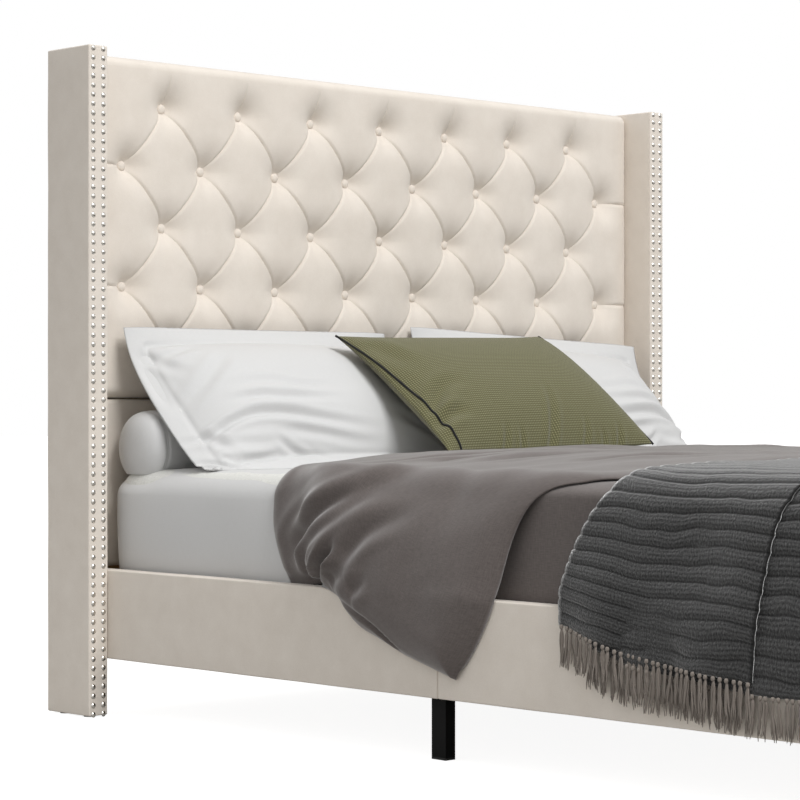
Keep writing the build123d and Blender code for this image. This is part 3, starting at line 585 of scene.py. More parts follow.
def rounded_block(low: np.ndarray, high: np.ndarray, radius: float,
                  step: float) -> tuple[np.ndarray, np.ndarray, np.ndarray]:
    """Closed block with rounded edges.

    Each point of the square block is pulled onto a ball of the radius round its nearest point
    of the inner block, which is smaller by the radius on every side.

    Args:
        low: lowest corner.
        high: highest corner.
        radius: radius of every edge.
        step: longest face along the flat parts.
    Returns:
        Points, quads and outward normals.
    """
    low, high = np.array(low, float), np.array(high, float)
    ticks = [block_ticks(low[axis], high[axis], radius, step) for axis in range(3)]
    points, quads = [], []
    offset = 0
    for axis in range(3):
        first, second = (axis + 1) % 3, (axis + 2) % 3
        one, two = np.meshgrid(ticks[first], ticks[second], indexing="ij")
        for place, outward in ((low[axis], False), (high[axis], True)):
            face = np.zeros((*one.shape, 3))
            face[..., axis], face[..., first], face[..., second] = place, one, two
            corners = grid_quads(*one.shape)
            quads.append((corners if outward else corners[:, ::-1]) + offset)
            points.append(face.reshape(-1, 3))
            offset += one.size
    points = np.concatenate(points)
    inner = np.clip(points, low + radius, high - radius)
    normals = points - inner
    normals /= np.linalg.norm(normals, axis=1, keepdims=True)
    points = inner + normals * radius
    _, keep, back = np.unique(np.round(points, 6), axis=0, return_index=True,
                              return_inverse=True)
    return points[keep], back.reshape(-1)[np.concatenate(quads)], normals[keep]


def flat_uv(points: np.ndarray, normals: np.ndarray) -> np.ndarray:
    """UV in metres from the two axes that lie closest to each point's surface.

    Args:
        points: places of the points.
        normals: their outward normals.
    Returns:
        One UV place for each point.
    """
    main = np.argmax(np.abs(normals), axis=1)
    first = np.where(main == 0, points[:, 1], points[:, 0])
    second = np.where(main == 2, points[:, 1], points[:, 2])
    return np.stack([first, second], 1)


def soft_block(name: str, node: str, body: Body, slot: str, radius: float, step: float,
               uneven: float = 0.4 * MM, grow: float = 0.0, seed: int = 1) -> None:
    """Makes a cloth covered block in the place of a CAD node.

    Args:
        name: the piece's name.
        node: CAD node that it replaces.
        body: body it rides on.
        slot: the record's material slot.
        radius: radius of its edges.
        step: longest face.
        uneven: height of the cloth's unevenness.
        grow: how much larger than the node it is on each side.
        seed: seed of the unevenness.
    """
    low, high = (np.array(corner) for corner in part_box(node))
    points, quads, normals = rounded_block(low - grow, high + grow, radius, step)
    wave = ripple(points, length=0.16, amplitude=uneven, seed=seed)
    points = points + normals * (wave - uneven)[:, None]
    piece = make_piece(name, points, quads, body, slot, uv=flat_uv(points, normals))
    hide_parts(node)


@dataclass
class Headboard:
    """Diamond tufted pad with covered buttons, and the plain pad under its seam."""

    columns: int = 8
    rows: int = 5
    top_inset: float = 0.096
    bottom_inset: float = 0.1028
    slab: float = 0.006
    rise: float = 0.034
    pleat_share: float = 0.89
    stitch_depth: float = 0.0045
    stitch_width: float = 0.0022
    pocket_depth: float = 0.012
    pocket_reach: float = 0.024
    fade_start: float = 0.022
    fade_length: float = 0.05
    pleat_width: float = 0.004
    pleat_reach: float = 0.077
    button_reach: float = 0.070
    button_radius: float = 0.010
    side_round: float = 0.078
    top_round: float = 0.020
    seam_round: float = 0.020
    samples: int = 18
    tuft_half: float = 0.806
    seam_gap: float = 0.5 * MM
    pleat_power: float = 0.6
    pull_power: float = 0.58
    flat_share: float = 0.8
    edge_roll: float = 0.012
    wall_gap: float = 0.3 * MM
    button_stand: float = 1 * MM
    button_sides: int = 20

    def __post_init__(self) -> None:
        """Reads the pad's place from the frame and works out the lattice of buttons."""
        low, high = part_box("tufted_pad")
        self.half, self.seam, self.top, self.back = high.x, low.z, high.z, high.y
        self.plane = low.y + self.rise
        self.pitch = 2 * self.tuft_half / self.columns
        top_row = self.top - self.top_inset
        bottom_row = self.seam - self.seam_gap + self.bottom_inset
        self.row_heights = np.linspace(top_row, bottom_row, self.rows)
        few = self.columns - 1
        self.few_places = (np.arange(few) - (few - 1) / 2) * self.pitch
        self.many_places = (np.arange(few + 1) - few / 2) * self.pitch

    def buttons(self) -> np.ndarray:
        """X and Z of every button, as one row for each."""
        spots = [np.stack([places, np.full(len(places), height)], 1)
                 for row, height in enumerate(self.row_heights)
                 for places in [self.few_places if row % 2 == 0 else self.many_places]]
        return np.concatenate(spots)

    def pleats(self) -> np.ndarray:
        """Both ends of every pleat.

        Pleats run between buttons, up and down from the end rows, and out to the wings.

        Returns:
            An array of pleats by ends by (X, Z).
        """
        lines = []
        half_pitch = self.pitch / 2
        for upper, lower in zip(range(self.rows - 1), range(1, self.rows)):
            few, many = (upper, lower) if upper % 2 == 0 else (lower, upper)
            for x in self.few_places:
                for side in (-1, 1):
                    lines.append([(x, self.row_heights[few]),
                                  (x + side * half_pitch, self.row_heights[many])])
        for x in self.few_places:
            lines.append([(x, self.row_heights[0]), (x, self.top)])
            lines.append([(x, self.row_heights[-1]), (x, self.seam)])
        for height in self.row_heights[1::2]:
            for side in (-1, 1):
                lines.append([(side * self.many_places[-1], height), (side * self.half, height)])
        return np.array(lines)

    def depth(self, x: np.ndarray, z: np.ndarray) -> np.ndarray:
        """How far the pad stands out from the button plane.

        Every pleat pulls the cloth down with a round profile of the distance to it, and the
        product of those of all pleats leaves a puff between them. Near a button the whole is
        scaled down to nothing. A narrow groove runs along each pleat, and the cloth is drawn in
        a little more round each button.

        Args:
            x: places across the headboard.
            z: heights.
        Returns:
            The depth at each place.
        """
        spot = np.stack([x, z], -1)
        puff = np.ones_like(x)
        groove = np.zeros_like(x)
        for start, end in self.pleats():
            way = end - start
            share = np.clip(((spot - start) @ way) / (way @ way), 0, 1)
            gap = np.linalg.norm(spot - start - share[..., None] * way, axis=-1)
            ends = (smooth(self.top - z, self.fade_start, self.fade_start + self.fade_length)
                    if end[1] == self.top else 1.0)
            near = 1 - np.clip(1 - gap / self.pleat_reach, 0, 1) * ends
            puff *= (1 - (1 - near) ** 2) ** self.pleat_power
            groove = np.maximum(groove, np.exp(-(gap / self.stitch_width) ** 2) * ends)
        gaps = np.linalg.norm(spot[..., None, :] - self.buttons(), axis=-1).min(-1)
        near = np.clip((gaps - self.flat_share * self.button_radius) / self.button_reach, 0, 1)
        pull = (1 - (1 - near) ** 2) ** self.pull_power
        full = self.rise * pull * (self.pleat_share + (1 - self.pleat_share) * puff)
        pocket = self.pocket_depth * np.exp(-(gaps / self.pocket_reach) ** 2) * pull ** 0.5
        return np.maximum(full - self.stitch_depth * groove * pull - pocket, 0)

    def front_grid(self) -> tuple[np.ndarray, np.ndarray]:
        """Grid of X and Z whose lines follow the pleats.

        Between two rows of buttons the pleats spread from each button of the shorter row to
        its neighbours in the longer one, and the samples between two pleats are spaced by a
        cosine, so they crowd at the pleats.

        Returns:
            X and Z, each as rows from the seam to the top by columns.
        """
        eased = (1 - np.cos(np.linspace(0, math.pi, self.samples + 1))) / 2
        levels = [self.seam, *self.row_heights[::-1], self.top]
        spreads = [0, 0, 1, 0, 1, 0, 0]
        heights, spread = [], []
        for low, high, start, end in zip(levels, levels[1:], spreads, spreads[1:]):
            heights.append(low + (high - low) * eased[:-1])
            spread.append(start + (end - start) * eased[:-1])
        heights = np.append(np.concatenate(heights), self.top)
        spread = np.append(np.concatenate(spread), 0)
        width = self.pleat_width / 2
        offset = width + (self.pitch / 2 - 2 * width) * spread
        bounds = [np.full(len(heights), -self.half)]
        for x in self.few_places:
            bounds += [x - offset, x + offset]
        bounds = np.stack([*bounds, np.full(len(heights), self.half)], 1)
        parts = bounds[:, :-1, None] + np.diff(bounds, axis=1)[:, :, None] * eased[:-1]
        x = np.concatenate([parts.reshape(len(heights), -1), bounds[:, -1:]], 1)
        return x, np.repeat(heights[:, None], x.shape[1], 1)

    def make_tufted_pad(self) -> None:
        """Makes the puffed pad: its front is carried over the top edge and closed behind."""
        x, z = self.front_grid()
        depth = self.depth(x, z) * quarter_round(self.half - np.abs(x), self.side_round)
        depth *= quarter_round(z - self.seam, self.seam_round)
        over = quarter_round(self.top - z, self.top_round)
        y = self.plane + self.edge_roll - (depth + self.edge_roll) * over
        y += ripple(np.stack([x, y * 0, z], -1), length=0.09, amplitude=0.5 * MM, seed=5) * over
        front = np.stack([x, y, z], -1)
        edge = front[-1]
        panel = self.plane + self.slab + self.wall_gap
        turn = self.top - self.slab + self.wall_gap
        rest = [np.stack([edge[:, 0], np.full(len(edge), place), np.full(len(edge), height)], 1)
                for place, height in ((self.back, self.top), (self.back, turn), (panel, turn),
                                      (panel, self.seam))]
        grid = np.concatenate([front, np.stack(rest)])
        rows, columns = grid.shape[:2]
        ends = [np.arange(rows)[::-1] * columns, np.arange(rows) * columns + columns - 1]
        pad = make_piece("tufted_headboard_pad", grid.reshape(-1, 3),
                         grid_quads(rows, columns, wrap_rows=True), Body.FRAME,
                         "cream_upholstery", caps=ends)
        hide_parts("tufted_pad")

    def make_buttons(self) -> None:
        """Makes the covered buttons: a profile turned round each button's axis.

        The profile holds radius and height in millimetres, from its tip to its hidden edge.
        """
        profile = np.array([(0.0, 7.2), (3.5, 6.8), (6.8, 5.6), (9.2, 3.8), (10.2, 2.0),
                            (9.6, 0.4), (6.0, -3.0)]) * MM
        turns = circle(self.button_sides)
        ring = np.stack([np.outer(profile[1:, 0], np.cos(turns)),
                         np.repeat(-profile[1:, 1:], len(turns), 1),
                         np.outer(profile[1:, 0], np.sin(turns))], -1).reshape(-1, 3)
        one = np.concatenate([ring, [[0, -profile[0, 1], 0]]])
        around = np.arange(len(turns))
        fans = np.stack([np.full(len(turns), len(ring)), around, (around + 1) % len(turns)], 1)
        last = len(ring) - len(turns) + around
        places = self.buttons()
        middle = np.stack([places[:, 0], np.full(len(places), self.plane + self.button_stand),
                           places[:, 1]], 1)
        quads, caps = copied_faces(grid_quads(len(profile) - 1, len(turns), wrap_columns=True),
                                   [fans, last[::-1]], len(one), len(places))
        buttons = make_piece("covered_buttons", (middle[:, None] + one).reshape(-1, 3), quads,
                             Body.FRAME, "cream_upholstery", caps=caps)
        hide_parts("tuft_buttons")

    def build(self) -> None:
        """Makes every piece of the headboard."""
        self.make_tufted_pad()
        self.make_buttons()
        soft_block("plain_lower_pad", "headboard_lower_pad", Body.FRAME, "cream_upholstery",
                   radius=0.010, step=0.03)


@dataclass
class Frame:
    """Wings and rails in their sewn covers, and the finish of every other node of the frame."""

    edge: float = 0.0035
    step: float = 0.045

    def build(self) -> None:
        """Covers the wings and rails and gives each CAD node its finish."""
        covers = ["wing_cover_left", "wing_cover_right", "foot_rail_cover"]
        covers += [f"rail_cover_{end}_{side}" for end in ("head", "foot")
                   for side in ("left", "right")]
        for seed, node in enumerate(covers):
            soft_block(node.replace("cover", "upholstery"), node, Body.FRAME,
                       "cream_upholstery", self.edge, self.step, uneven=0.25 * MM, seed=seed)
        for part in frame["record"]["subparts"]:
            node = frame["nodes"][part["node"]]
            node.data.materials.clear()
            node.data.materials.append(material_of(part["material_slot"]))


def curve_through(knots: list, shares: np.ndarray) -> np.ndarray:
    """Smooth line through knots, read at shares of its length.

    A cubic through each four knots in turn (Catmull-Rom) is sampled finely and then read again
    at even steps of arc length.

    Args:
        knots: places that the line goes through.
        shares: shares of the length, from 0 to 1.
    Returns:
        One place for each share.
    """
    knots = np.array(knots, float)
    padded = np.concatenate([2 * knots[:1] - knots[1:2], knots, 2 * knots[-1:] - knots[-2:-1]])
    t = np.linspace(0, 1, 24, endpoint=False)[None, :, None]
    a, b, c, d = (padded[k:len(knots) - 1 + k, None] for k in range(4))
    fine = 0.5 * (2 * b + (c - a) * t + (2 * a - 5 * b + 4 * c - d) * t ** 2
                  + (3 * b - a - 3 * c + d) * t ** 3)
    fine = np.concatenate([fine.reshape(-1, knots.shape[1]), knots[-1:]])
    lengths = np.append(0, np.cumsum(np.linalg.norm(np.diff(fine, axis=0), axis=1)))
    wanted = np.asarray(shares) * lengths[-1]
    return np.stack([np.interp(wanted, lengths, fine[:, axis])
                     for axis in range(knots.shape[1])], -1)


def grid_normals(points: np.ndarray) -> np.ndarray:
    """Unit normals of a grid: the cross product of its two central differences."""
    normals = np.cross(np.gradient(points, axis=0), np.gradient(points, axis=1))
    return normals / (np.linalg.norm(normals, axis=-1, keepdims=True) + 1e-12)


class Cloth:
    """Grid of cloth that keeps its lengths while it swells, hangs and rests on things.

    Each step moves the points on by their last move and the force, then moves both ends of
    each pair of neighbours towards the pair's own length (position based dynamics). Pairs that
    share no point are done together as whole arrays.
    """

    STEPS = (((1, 0), 1.0), ((0, 1), 1.0), ((1, 1), 0.6), ((1, -1), 0.6), ((2, 0), 0.15),
             ((0, 2), 0.15))

    def __init__(self, points: np.ndarray,
                 lengths: Callable[[tuple, tuple, tuple], np.ndarray | float],
                 moving: np.ndarray) -> None:
        """Sets up the pairs.

        Args:
            points: places as a grid of rows by columns by three.
            lengths: gives the length that the pairs between two index tuples keep, from the
                two tuples and the step.
            moving: one where a point may move, zero where it is held.
        """
        self.points = points.copy()
        self.before = points.copy()
        self.moving = moving
        self.passes = []
        rows, columns = points.shape[:2]
        for (down, over), strength in self.STEPS:
            axis_count = rows - down if down else columns - over
            stride = down or over
            for phase in (0, 1):
                pick = np.arange(axis_count)
                pick = pick[(pick // stride) % 2 == phase]
                if down:
                    first = (pick, slice(max(0, -over), columns - max(0, over)))
                    second = (pick + down, slice(max(0, over), columns + min(0, over)))
                else:
                    first = (slice(None), pick)
                    second = (slice(None), pick + over)
                self.passes.append((first, second, lengths(first, second, (down, over)),
                                    strength))

    def move(self, force: np.ndarray, damping: float) -> None:
        """Moves every free point on by its last move and by the force.

        Args:
            force: what is added to each point's move.
            damping: share of the last move that is lost.
        """
        drift = (self.points - self.before) * (1 - damping) + force
        self.before = self.points
        self.points = self.points + drift * self.moving[..., None]

    def hold_lengths(self) -> None:
        """Moves both ends of each pair towards the pair's own length."""
        places = self.points
        for first, second, rest, strength in self.passes:
            one, two = places[first], places[second]
            free_one, free_two = self.moving[first][..., None], self.moving[second][..., None]
            gap = two - one
            length = np.sqrt((gap * gap).sum(-1, keepdims=True)) + 1e-9
            push = gap * (strength * (length - rest) / length
                          / np.maximum(free_one + free_two, 1e-9))
            places[first] = one + push * free_one
            places[second] = two - push * free_two


@dataclass(frozen=True)
class Crease:
    """Valley in cloth with a soft ridge on both sides, along a smooth line of knots."""

    knots: tuple
    width: float
    depth: float
    ridge: float = 0.55


def refined(points: np.ndarray) -> np.ndarray:
    """Grid with a new point between each two, on the cubic through the four nearest.

    Args:
        points: the grid.
    Returns:
        The finer grid.
    """
    for axis in (0, 1):
        rows = np.moveaxis(points, axis, 0)
        ends = np.concatenate([2 * rows[:1] - rows[1:2], rows, 2 * rows[-1:] - rows[-2:-1]])
        between = (9 * (ends[1:-2] + ends[2:-1]) - ends[:-3] - ends[3:]) / 16
        finer = np.empty((2 * len(rows) - 1, *rows.shape[1:]))
        finer[::2], finer[1::2] = rows, between
        points = np.moveaxis(finer, 0, axis)
    return points


def crease_rise(places: np.ndarray, creases: tuple) -> np.ndarray:
    """Height that creases add to a surface.

    Across a crease the height is two bell shaped ridges less a bell shaped valley. Along it
    the depth fades in over the first fifth and fades out over the last three fifths.

    Args:
        places: grid of places in the two coordinates that the creases are given in.
        creases: the creases.
    Returns:
        The height at each place.
    """
    rise = np.zeros(places.shape[:-1])
    for crease in creases:
        knots = np.array(crease.knots)
        span = np.linalg.norm(np.diff(knots, axis=0), axis=1).sum()
        count = round(span / (0.25 * crease.width)) + 2
        path = curve_through(list(knots), np.linspace(0, 1, count))
        low, high = path.min(0) - 4 * crease.width, path.max(0) + 4 * crease.width
        inside = ((places > low) & (places < high)).all(-1)
        spots = places[inside]
        gaps = np.linalg.norm(spots[:, None] - path, axis=-1)
        share = gaps.argmin(-1) / (count - 1)
        away = gaps.min(-1) / crease.width
        fade = smooth(1 - share, 0, 0.6) * smooth(share, -0.04, 0.22)
        rise[inside] += crease.depth * fade * (
            crease.ridge * np.exp(-((away - 1.9) / 0.9) ** 2) - np.exp(-away ** 2))
    return rise


def join_layers(front: np.ndarray, back: np.ndarray) -> tuple[np.ndarray, np.ndarray]:
    """Closes two grids of the same size into one skin; they share the front's outer ring.

    Args:
        front: grid that faces outwards.
        back: grid behind it.
    Returns:
        Points and quads.
    """
    rows, columns = front.shape[:2]
    number = np.arange(rows * columns).reshape(rows, columns)
    behind = number.copy()
    behind[1:-1, 1:-1] = rows * columns + np.arange((rows - 2) * (columns - 2)).reshape(
        rows - 2, columns - 2)
    points = np.concatenate([front.reshape(-1, 3), back[1:-1, 1:-1].reshape(-1, 3)])
    quads = grid_quads(rows, columns)
    return points, np.concatenate([quads, behind.reshape(-1)[quads][:, ::-1]])


@dataclass
class Pillow:
    """Pillow or cushion: two panels sewn together, swollen by their filling, at rest."""

    name: str
    node: str
    slot: str
    width: float
    height: float
    flange: float
    front: float
    back: float
    middle: tuple[float, float, float]
    slope: float
    turn: float
    seed: int
    droop: float = 0.0
    creases: tuple = ()
    corner: float = 0.0
    spare: float = 1.02
    filling: float = 0.62
    cell: float = 8 * MM
    steps: int = 200
    swell: float = 3.4 * MM
    weight: float = 0.02 * MM
    damping: float = 0.12
    outline_hold: float = 0.25
    hem: float = 2.4 * MM
    seam_depth: float = 1.2 * MM
    droop_reach: float = 0.07
    rounds: int = 3
    sheet_gap: float = 0.6 * MM
    board_gap: float = 1.5 * MM
    roll_gap: float = 0.8 * MM

    def __post_init__(self) -> None:
        """Works out the pillow's own axes, its grid and where the back panel is sewn on."""
        slope, turn = math.radians(self.slope), math.radians(self.turn)
        along = np.array([1.0, 0, 0])
        up = np.array([0, math.cos(slope), math.sin(slope)])
        self.axes = np.stack([along * math.cos(turn) + up * math.sin(turn),
                              up * math.cos(turn) - along * math.sin(turn),
                              np.cross(along, up)])
        self.rows = round(self.width / self.cell) + 1
        self.columns = round(self.height / self.cell) + 1
        edge = self.border = round(self.flange / self.cell)
        self.inner = (slice(edge, self.rows - edge), slice(edge, self.columns - edge))
        self.seam = np.zeros((self.rows - 2 * edge, self.columns - 2 * edge, 1), bool)
        self.seam[[0, -1]] = True
        self.seam[:, [0, -1]] = True

    def placed(self, points: np.ndarray) -> np.ndarray:
        """Own coordinates turned and moved to the pillow's place on the bed."""
        return points @ self.axes + np.array(self.middle)

    def rest_on_bed(self, cloth: Cloth) -> None:
        """Keeps a panel above the sheet, in front of the headboard and off the roll.

        Args:
            cloth: the panel.
        """
        place = self.placed(cloth.points)
        place[..., 2] = np.maximum(place[..., 2], REST.sheet_top + self.sheet_gap)
        place[..., 1] = np.minimum(place[..., 1], REST.pad_crest - self.board_gap)
        axis = np.array([REST.roll_place, REST.roll_height])
        gap = place[..., 1:] - axis
        away = np.linalg.norm(gap, axis=-1, keepdims=True)
        clear = REST.roll_radius + self.roll_gap
        place[..., 1:] = np.where(away < clear, axis + gap / away * clear, place[..., 1:])
        cloth.points = (place - np.array(self.middle)) @ self.axes.T
        cloth.points[..., 2] = np.clip(cloth.points[..., 2], -self.back, self.front)

    def round_lower_corners(self, flat: np.ndarray) -> np.ndarray:
        """Bends the flat panel's two lower corners round, as a square is mapped to a disc.

        Args:
            flat: the panel's flat places.
        Returns:
            The bent places.
        """
        if not self.corner:
            return flat.copy()
        reach = np.array([self.width / 2, self.height / 2]) - self.corner
        over = np.stack([np.abs(flat[..., 0]), -flat[..., 1]], -1) - reach
        share = np.clip(over / self.corner, 0, 1)
        pulled = share * np.sqrt(1 - share[..., ::-1] ** 2 / 2)
        moved = (share - pulled) * self.corner
        bent = flat.copy()
        bent[..., 0] -= np.sign(flat[..., 0]) * moved[..., 0]
        bent[..., 1] += moved[..., 1]
        return bent

    def sagged(self, flat: np.ndarray) -> np.ndarray:
        """Shape that the outline is drawn towards: lower corners round, short sides hanging.

        Args:
            flat: the panel's flat places.
        Returns:
            The shape's places.
        """
        shape = self.round_lower_corners(flat)
        shape[..., 2] -= (
            self.droop * np.exp(-(self.width / 2 - np.abs(flat[..., 0])) / self.droop_reach)
            * (1 - np.abs((2 * flat[..., 1] / self.height + 0.1) / 1.1) ** 3))
        return shape

    def sew(self, front: Cloth, back: Cloth) -> None:
        """Brings the seams of both panels to the middle between them.

        Args:
            front: the front panel.
            back: the back panel.
        """
        sewn = (front.points[self.inner] + back.points) / 2
        front.points[self.inner] = np.where(self.seam, sewn, front.points[self.inner])
        back.points = np.where(self.seam, sewn, back.points)

    def relax(self) -> tuple[np.ndarray, np.ndarray, np.ndarray]:
        """Swells and settles the two panels.

        The filling pushes them apart until their mean distance is full, they fall by their
        weight, and the outline is drawn softly towards its own shape.

        Returns:
            The flat places, the front panel with its flange and the back panel, in own axes.
        """
        u = np.linspace(-self.width / 2, self.width / 2, self.rows)
        v = np.linspace(-self.height / 2, self.height / 2, self.columns)
        flat = np.stack([*np.meshgrid(u, v, indexing="ij"), np.zeros((self.rows, self.columns))],
                        -1)
        target = self.sagged(flat)
        start = target.copy()
        random = np.random.default_rng(self.seed)
        start[..., 2] += (ripple(flat, length=0.2, amplitude=1.5 * MM, seed=self.seed)
                          + random.normal(size=flat.shape[:2]) * 0.5 * MM)
        spacing = np.array([u[1] - u[0], v[1] - v[0]]) * self.spare

        def lengths(first: tuple, second: tuple, step: tuple) -> float:
            """Length of a pair of the flat panel."""
            return float(np.hypot(*(np.array(step) * spacing)))

        edge, ring = self.border, max(self.border, 1)
        lift = np.array([0, 0, 2 * MM])
        ones = np.ones(flat.shape[:2])
        front = Cloth(start + lift, lengths, ones)
        back = Cloth((start - lift)[self.inner], lengths, ones[self.inner])
        filled = np.zeros((*flat.shape[:2], 1))
        filled[edge + 1:self.rows - edge - 1, edge + 1:self.columns - edge - 1] = 1
        held = np.full((*flat.shape[:2], 1), self.outline_hold)
        held[ring:-ring, ring:-ring] = 0
        full = self.filling * (self.front + self.back)
        fall = np.array([0, 0, -self.weight]) @ self.axes.T
        for _ in range(self.steps):
            thick = (front.points[self.inner][..., 2] - back.points[..., 2]).mean()
            push = self.swell * np.clip((full - thick) / full, -0.5, 1)
            front.move(grid_normals(front.points) * filled * push + fall
                       + (target - front.points) * held, self.damping)
            back.move(grid_normals(back.points) * -push + fall, self.damping)
            for _ in range(self.rounds):
                front.hold_lengths()
                back.hold_lengths()
                self.sew(front, back)
            self.rest_on_bed(front)
            self.rest_on_bed(back)
        return flat, front.points, back.points

    def finished(self, flat: np.ndarray, front: np.ndarray,
                 back: np.ndarray) -> tuple[np.ndarray, np.ndarray, np.ndarray]:
        """Gives the settled panels their hem, the sunk seam line and the creases.

        Args:
            flat: the flat places.
            front: the settled front panel.
            back: the settled back panel.
        Returns:
            The same three, on a finer grid, the back one as large as the front one.
        """
        normals = grid_normals(front)
        behind = front - normals * self.hem
        behind[self.inner] = np.where(self.seam, behind[self.inner], back)
        stitched = np.zeros((*flat.shape[:2], 1))
        stitched[self.inner] = self.seam * (self.flange > 0)
        skin = refined(front - normals * stitched * self.seam_depth)
        flat = refined(flat)
        rise = crease_rise(flat[..., :2], self.creases)
        return flat, skin + grid_normals(skin) * rise[..., None], refined(behind)

    def build(self) -> None:
        """Makes the pillow from its two panels."""
        flat, front, back = self.finished(*self.relax())
        self.skin = self.placed(front)
        points, quads = join_layers(self.skin, self.placed(back))
        uv = np.concatenate([flat.reshape(-1, 3), flat[1:-1, 1:-1].reshape(-1, 3)])[:, :2]
        pillow = make_piece(self.name, points, quads, Body.PILLOWS, self.slot, uv=uv)
        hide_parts(self.node)


def tube_along(path: np.ndarray, radius: float,
               sides: int = 10) -> tuple[np.ndarray, np.ndarray, list[np.ndarray]]:
    """Round tube along a line, with its ends closed.

    Each ring stands square to the line: its two axes are the line's direction crossed with a
    fixed slanted line, and that crossed with the direction again.

    Args:
        path: places along the line.
        radius: the tube's radius.
        sides: points of each ring.
    Returns:
        Points, quads and the two end faces.
    """
    way = np.gradient(path, axis=0)
    way /= np.linalg.norm(way, axis=1, keepdims=True)
    slanted = [0.13, 0.21, 0.97]
    side = np.cross(way, slanted)
    side /= np.linalg.norm(side, axis=1, keepdims=True)
    other = np.cross(way, side)
    turns = circle(sides)[None, :, None]
    rings = path[:, None] + radius * (np.cos(turns) * side[:, None] + np.sin(turns)
                                      * other[:, None])
    quads = grid_quads(len(path), sides, wrap_columns=True)
    last = (len(path) - 1) * sides + np.arange(sides)
    return rings.reshape(-1, 3), quads, [np.arange(sides), last[::-1]]


@dataclass
class Rest:
    """Places of what the bedding rests on, read from the frame."""

    roll_radius: float = 0.072
    roll_sink: float = 0.014
    roll_gap: float = 2.5 * MM
    roll_drop: float = 1 * MM

    def __post_init__(self) -> None:
        """Reads the places."""
        self.sheet_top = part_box("fitted_sheet")[1].z
        self.mattress_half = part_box("fitted_sheet")[1].x
        self.pad_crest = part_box("tufted_pad")[0].y
        self.roll_place = self.pad_crest - self.roll_radius - self.roll_gap
        self.roll_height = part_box("neck_roll")[1].z - self.roll_radius - self.roll_drop
        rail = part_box("rail_cover_head_right")[1]
        self.rail_top, self.rail_outer = rail.z, rail.x


REST = Rest()


@dataclass
class Roll:
    """Neck roll: a long round bolster with domed ends and a cord in each end seam."""

    half_length: float = 0.762
    dome: float = 0.036
    cord: float = 1.3 * MM
    cord_width: float = 1.2 * MM
    groove_depth: float = 2.6 * MM
    groove_width: float = 4 * MM
    puckers: int = 14
    pucker_depth: float = 0.7 * MM
    pucker_reach: float = 0.015
    sheet_gap: float = 0.8 * MM
    sides: int = 60

    def build(self) -> None:
        """Makes the roll: rings along X, close together round the seams and the ends.

        The radius is a quarter ellipse over each dome and even between, with a groove and a
        thin cord at each seam.
        """
        seam = self.half_length - self.dome
        around_seam = seam + np.linspace(-12, 12, 25) * MM
        end = self.half_length - self.dome * (1 - np.sin(np.linspace(0, math.pi / 2, 16)))
        half = np.concatenate([np.linspace(0, seam - 13 * MM, 50), around_seam[:13], end])
        x = np.unique(np.concatenate([-half, half, -around_seam, around_seam]))
        reach = self.half_length - np.abs(x)
        radius = REST.roll_radius * quarter_round(reach, self.dome) ** 0.8
        away = reach - self.dome
        radius = radius - self.groove_depth * np.exp(-(away / self.groove_width) ** 2)
        radius = np.maximum(radius + self.cord * np.exp(-(away / self.cord_width) ** 2), 0.4 * MM)
        turns = circle(self.sides)
        grid = np.stack([np.repeat(x[:, None], self.sides, 1),
                         np.outer(radius, np.cos(turns)), np.outer(radius, np.sin(turns))], -1)
        near_seam = np.exp(-np.abs(away)[:, None] / self.pucker_reach)
        pucker = (self.pucker_depth * near_seam
                  * np.sin(turns * self.puckers + 2 * np.sin(turns * 3)))
        wave = ripple(grid, length=0.11, amplitude=0.9 * MM, seed=31)
        scale = 1 + (pucker + wave) / REST.roll_radius
        grid[..., 1:] *= scale[..., None]
        grid[..., 1] += REST.roll_place
        grid[..., 2] = np.maximum(grid[..., 2] + REST.roll_height,
                                  REST.sheet_top - REST.roll_sink + self.sheet_gap)
        uv = np.stack([grid[..., 0], np.repeat(turns[None] * REST.roll_radius, len(x), 0)], -1)
        ends = [np.arange(self.sides), (len(x) - 1) * self.sides + np.arange(self.sides)[::-1]]
        roll = make_piece("neck_roll_cover", grid.reshape(-1, 3),
                          grid_quads(len(x), self.sides, wrap_columns=True), Body.PILLOWS,
                          "white_cotton", caps=ends, uv=uv.reshape(-1, 2), flip=True)
        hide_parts("neck_roll")


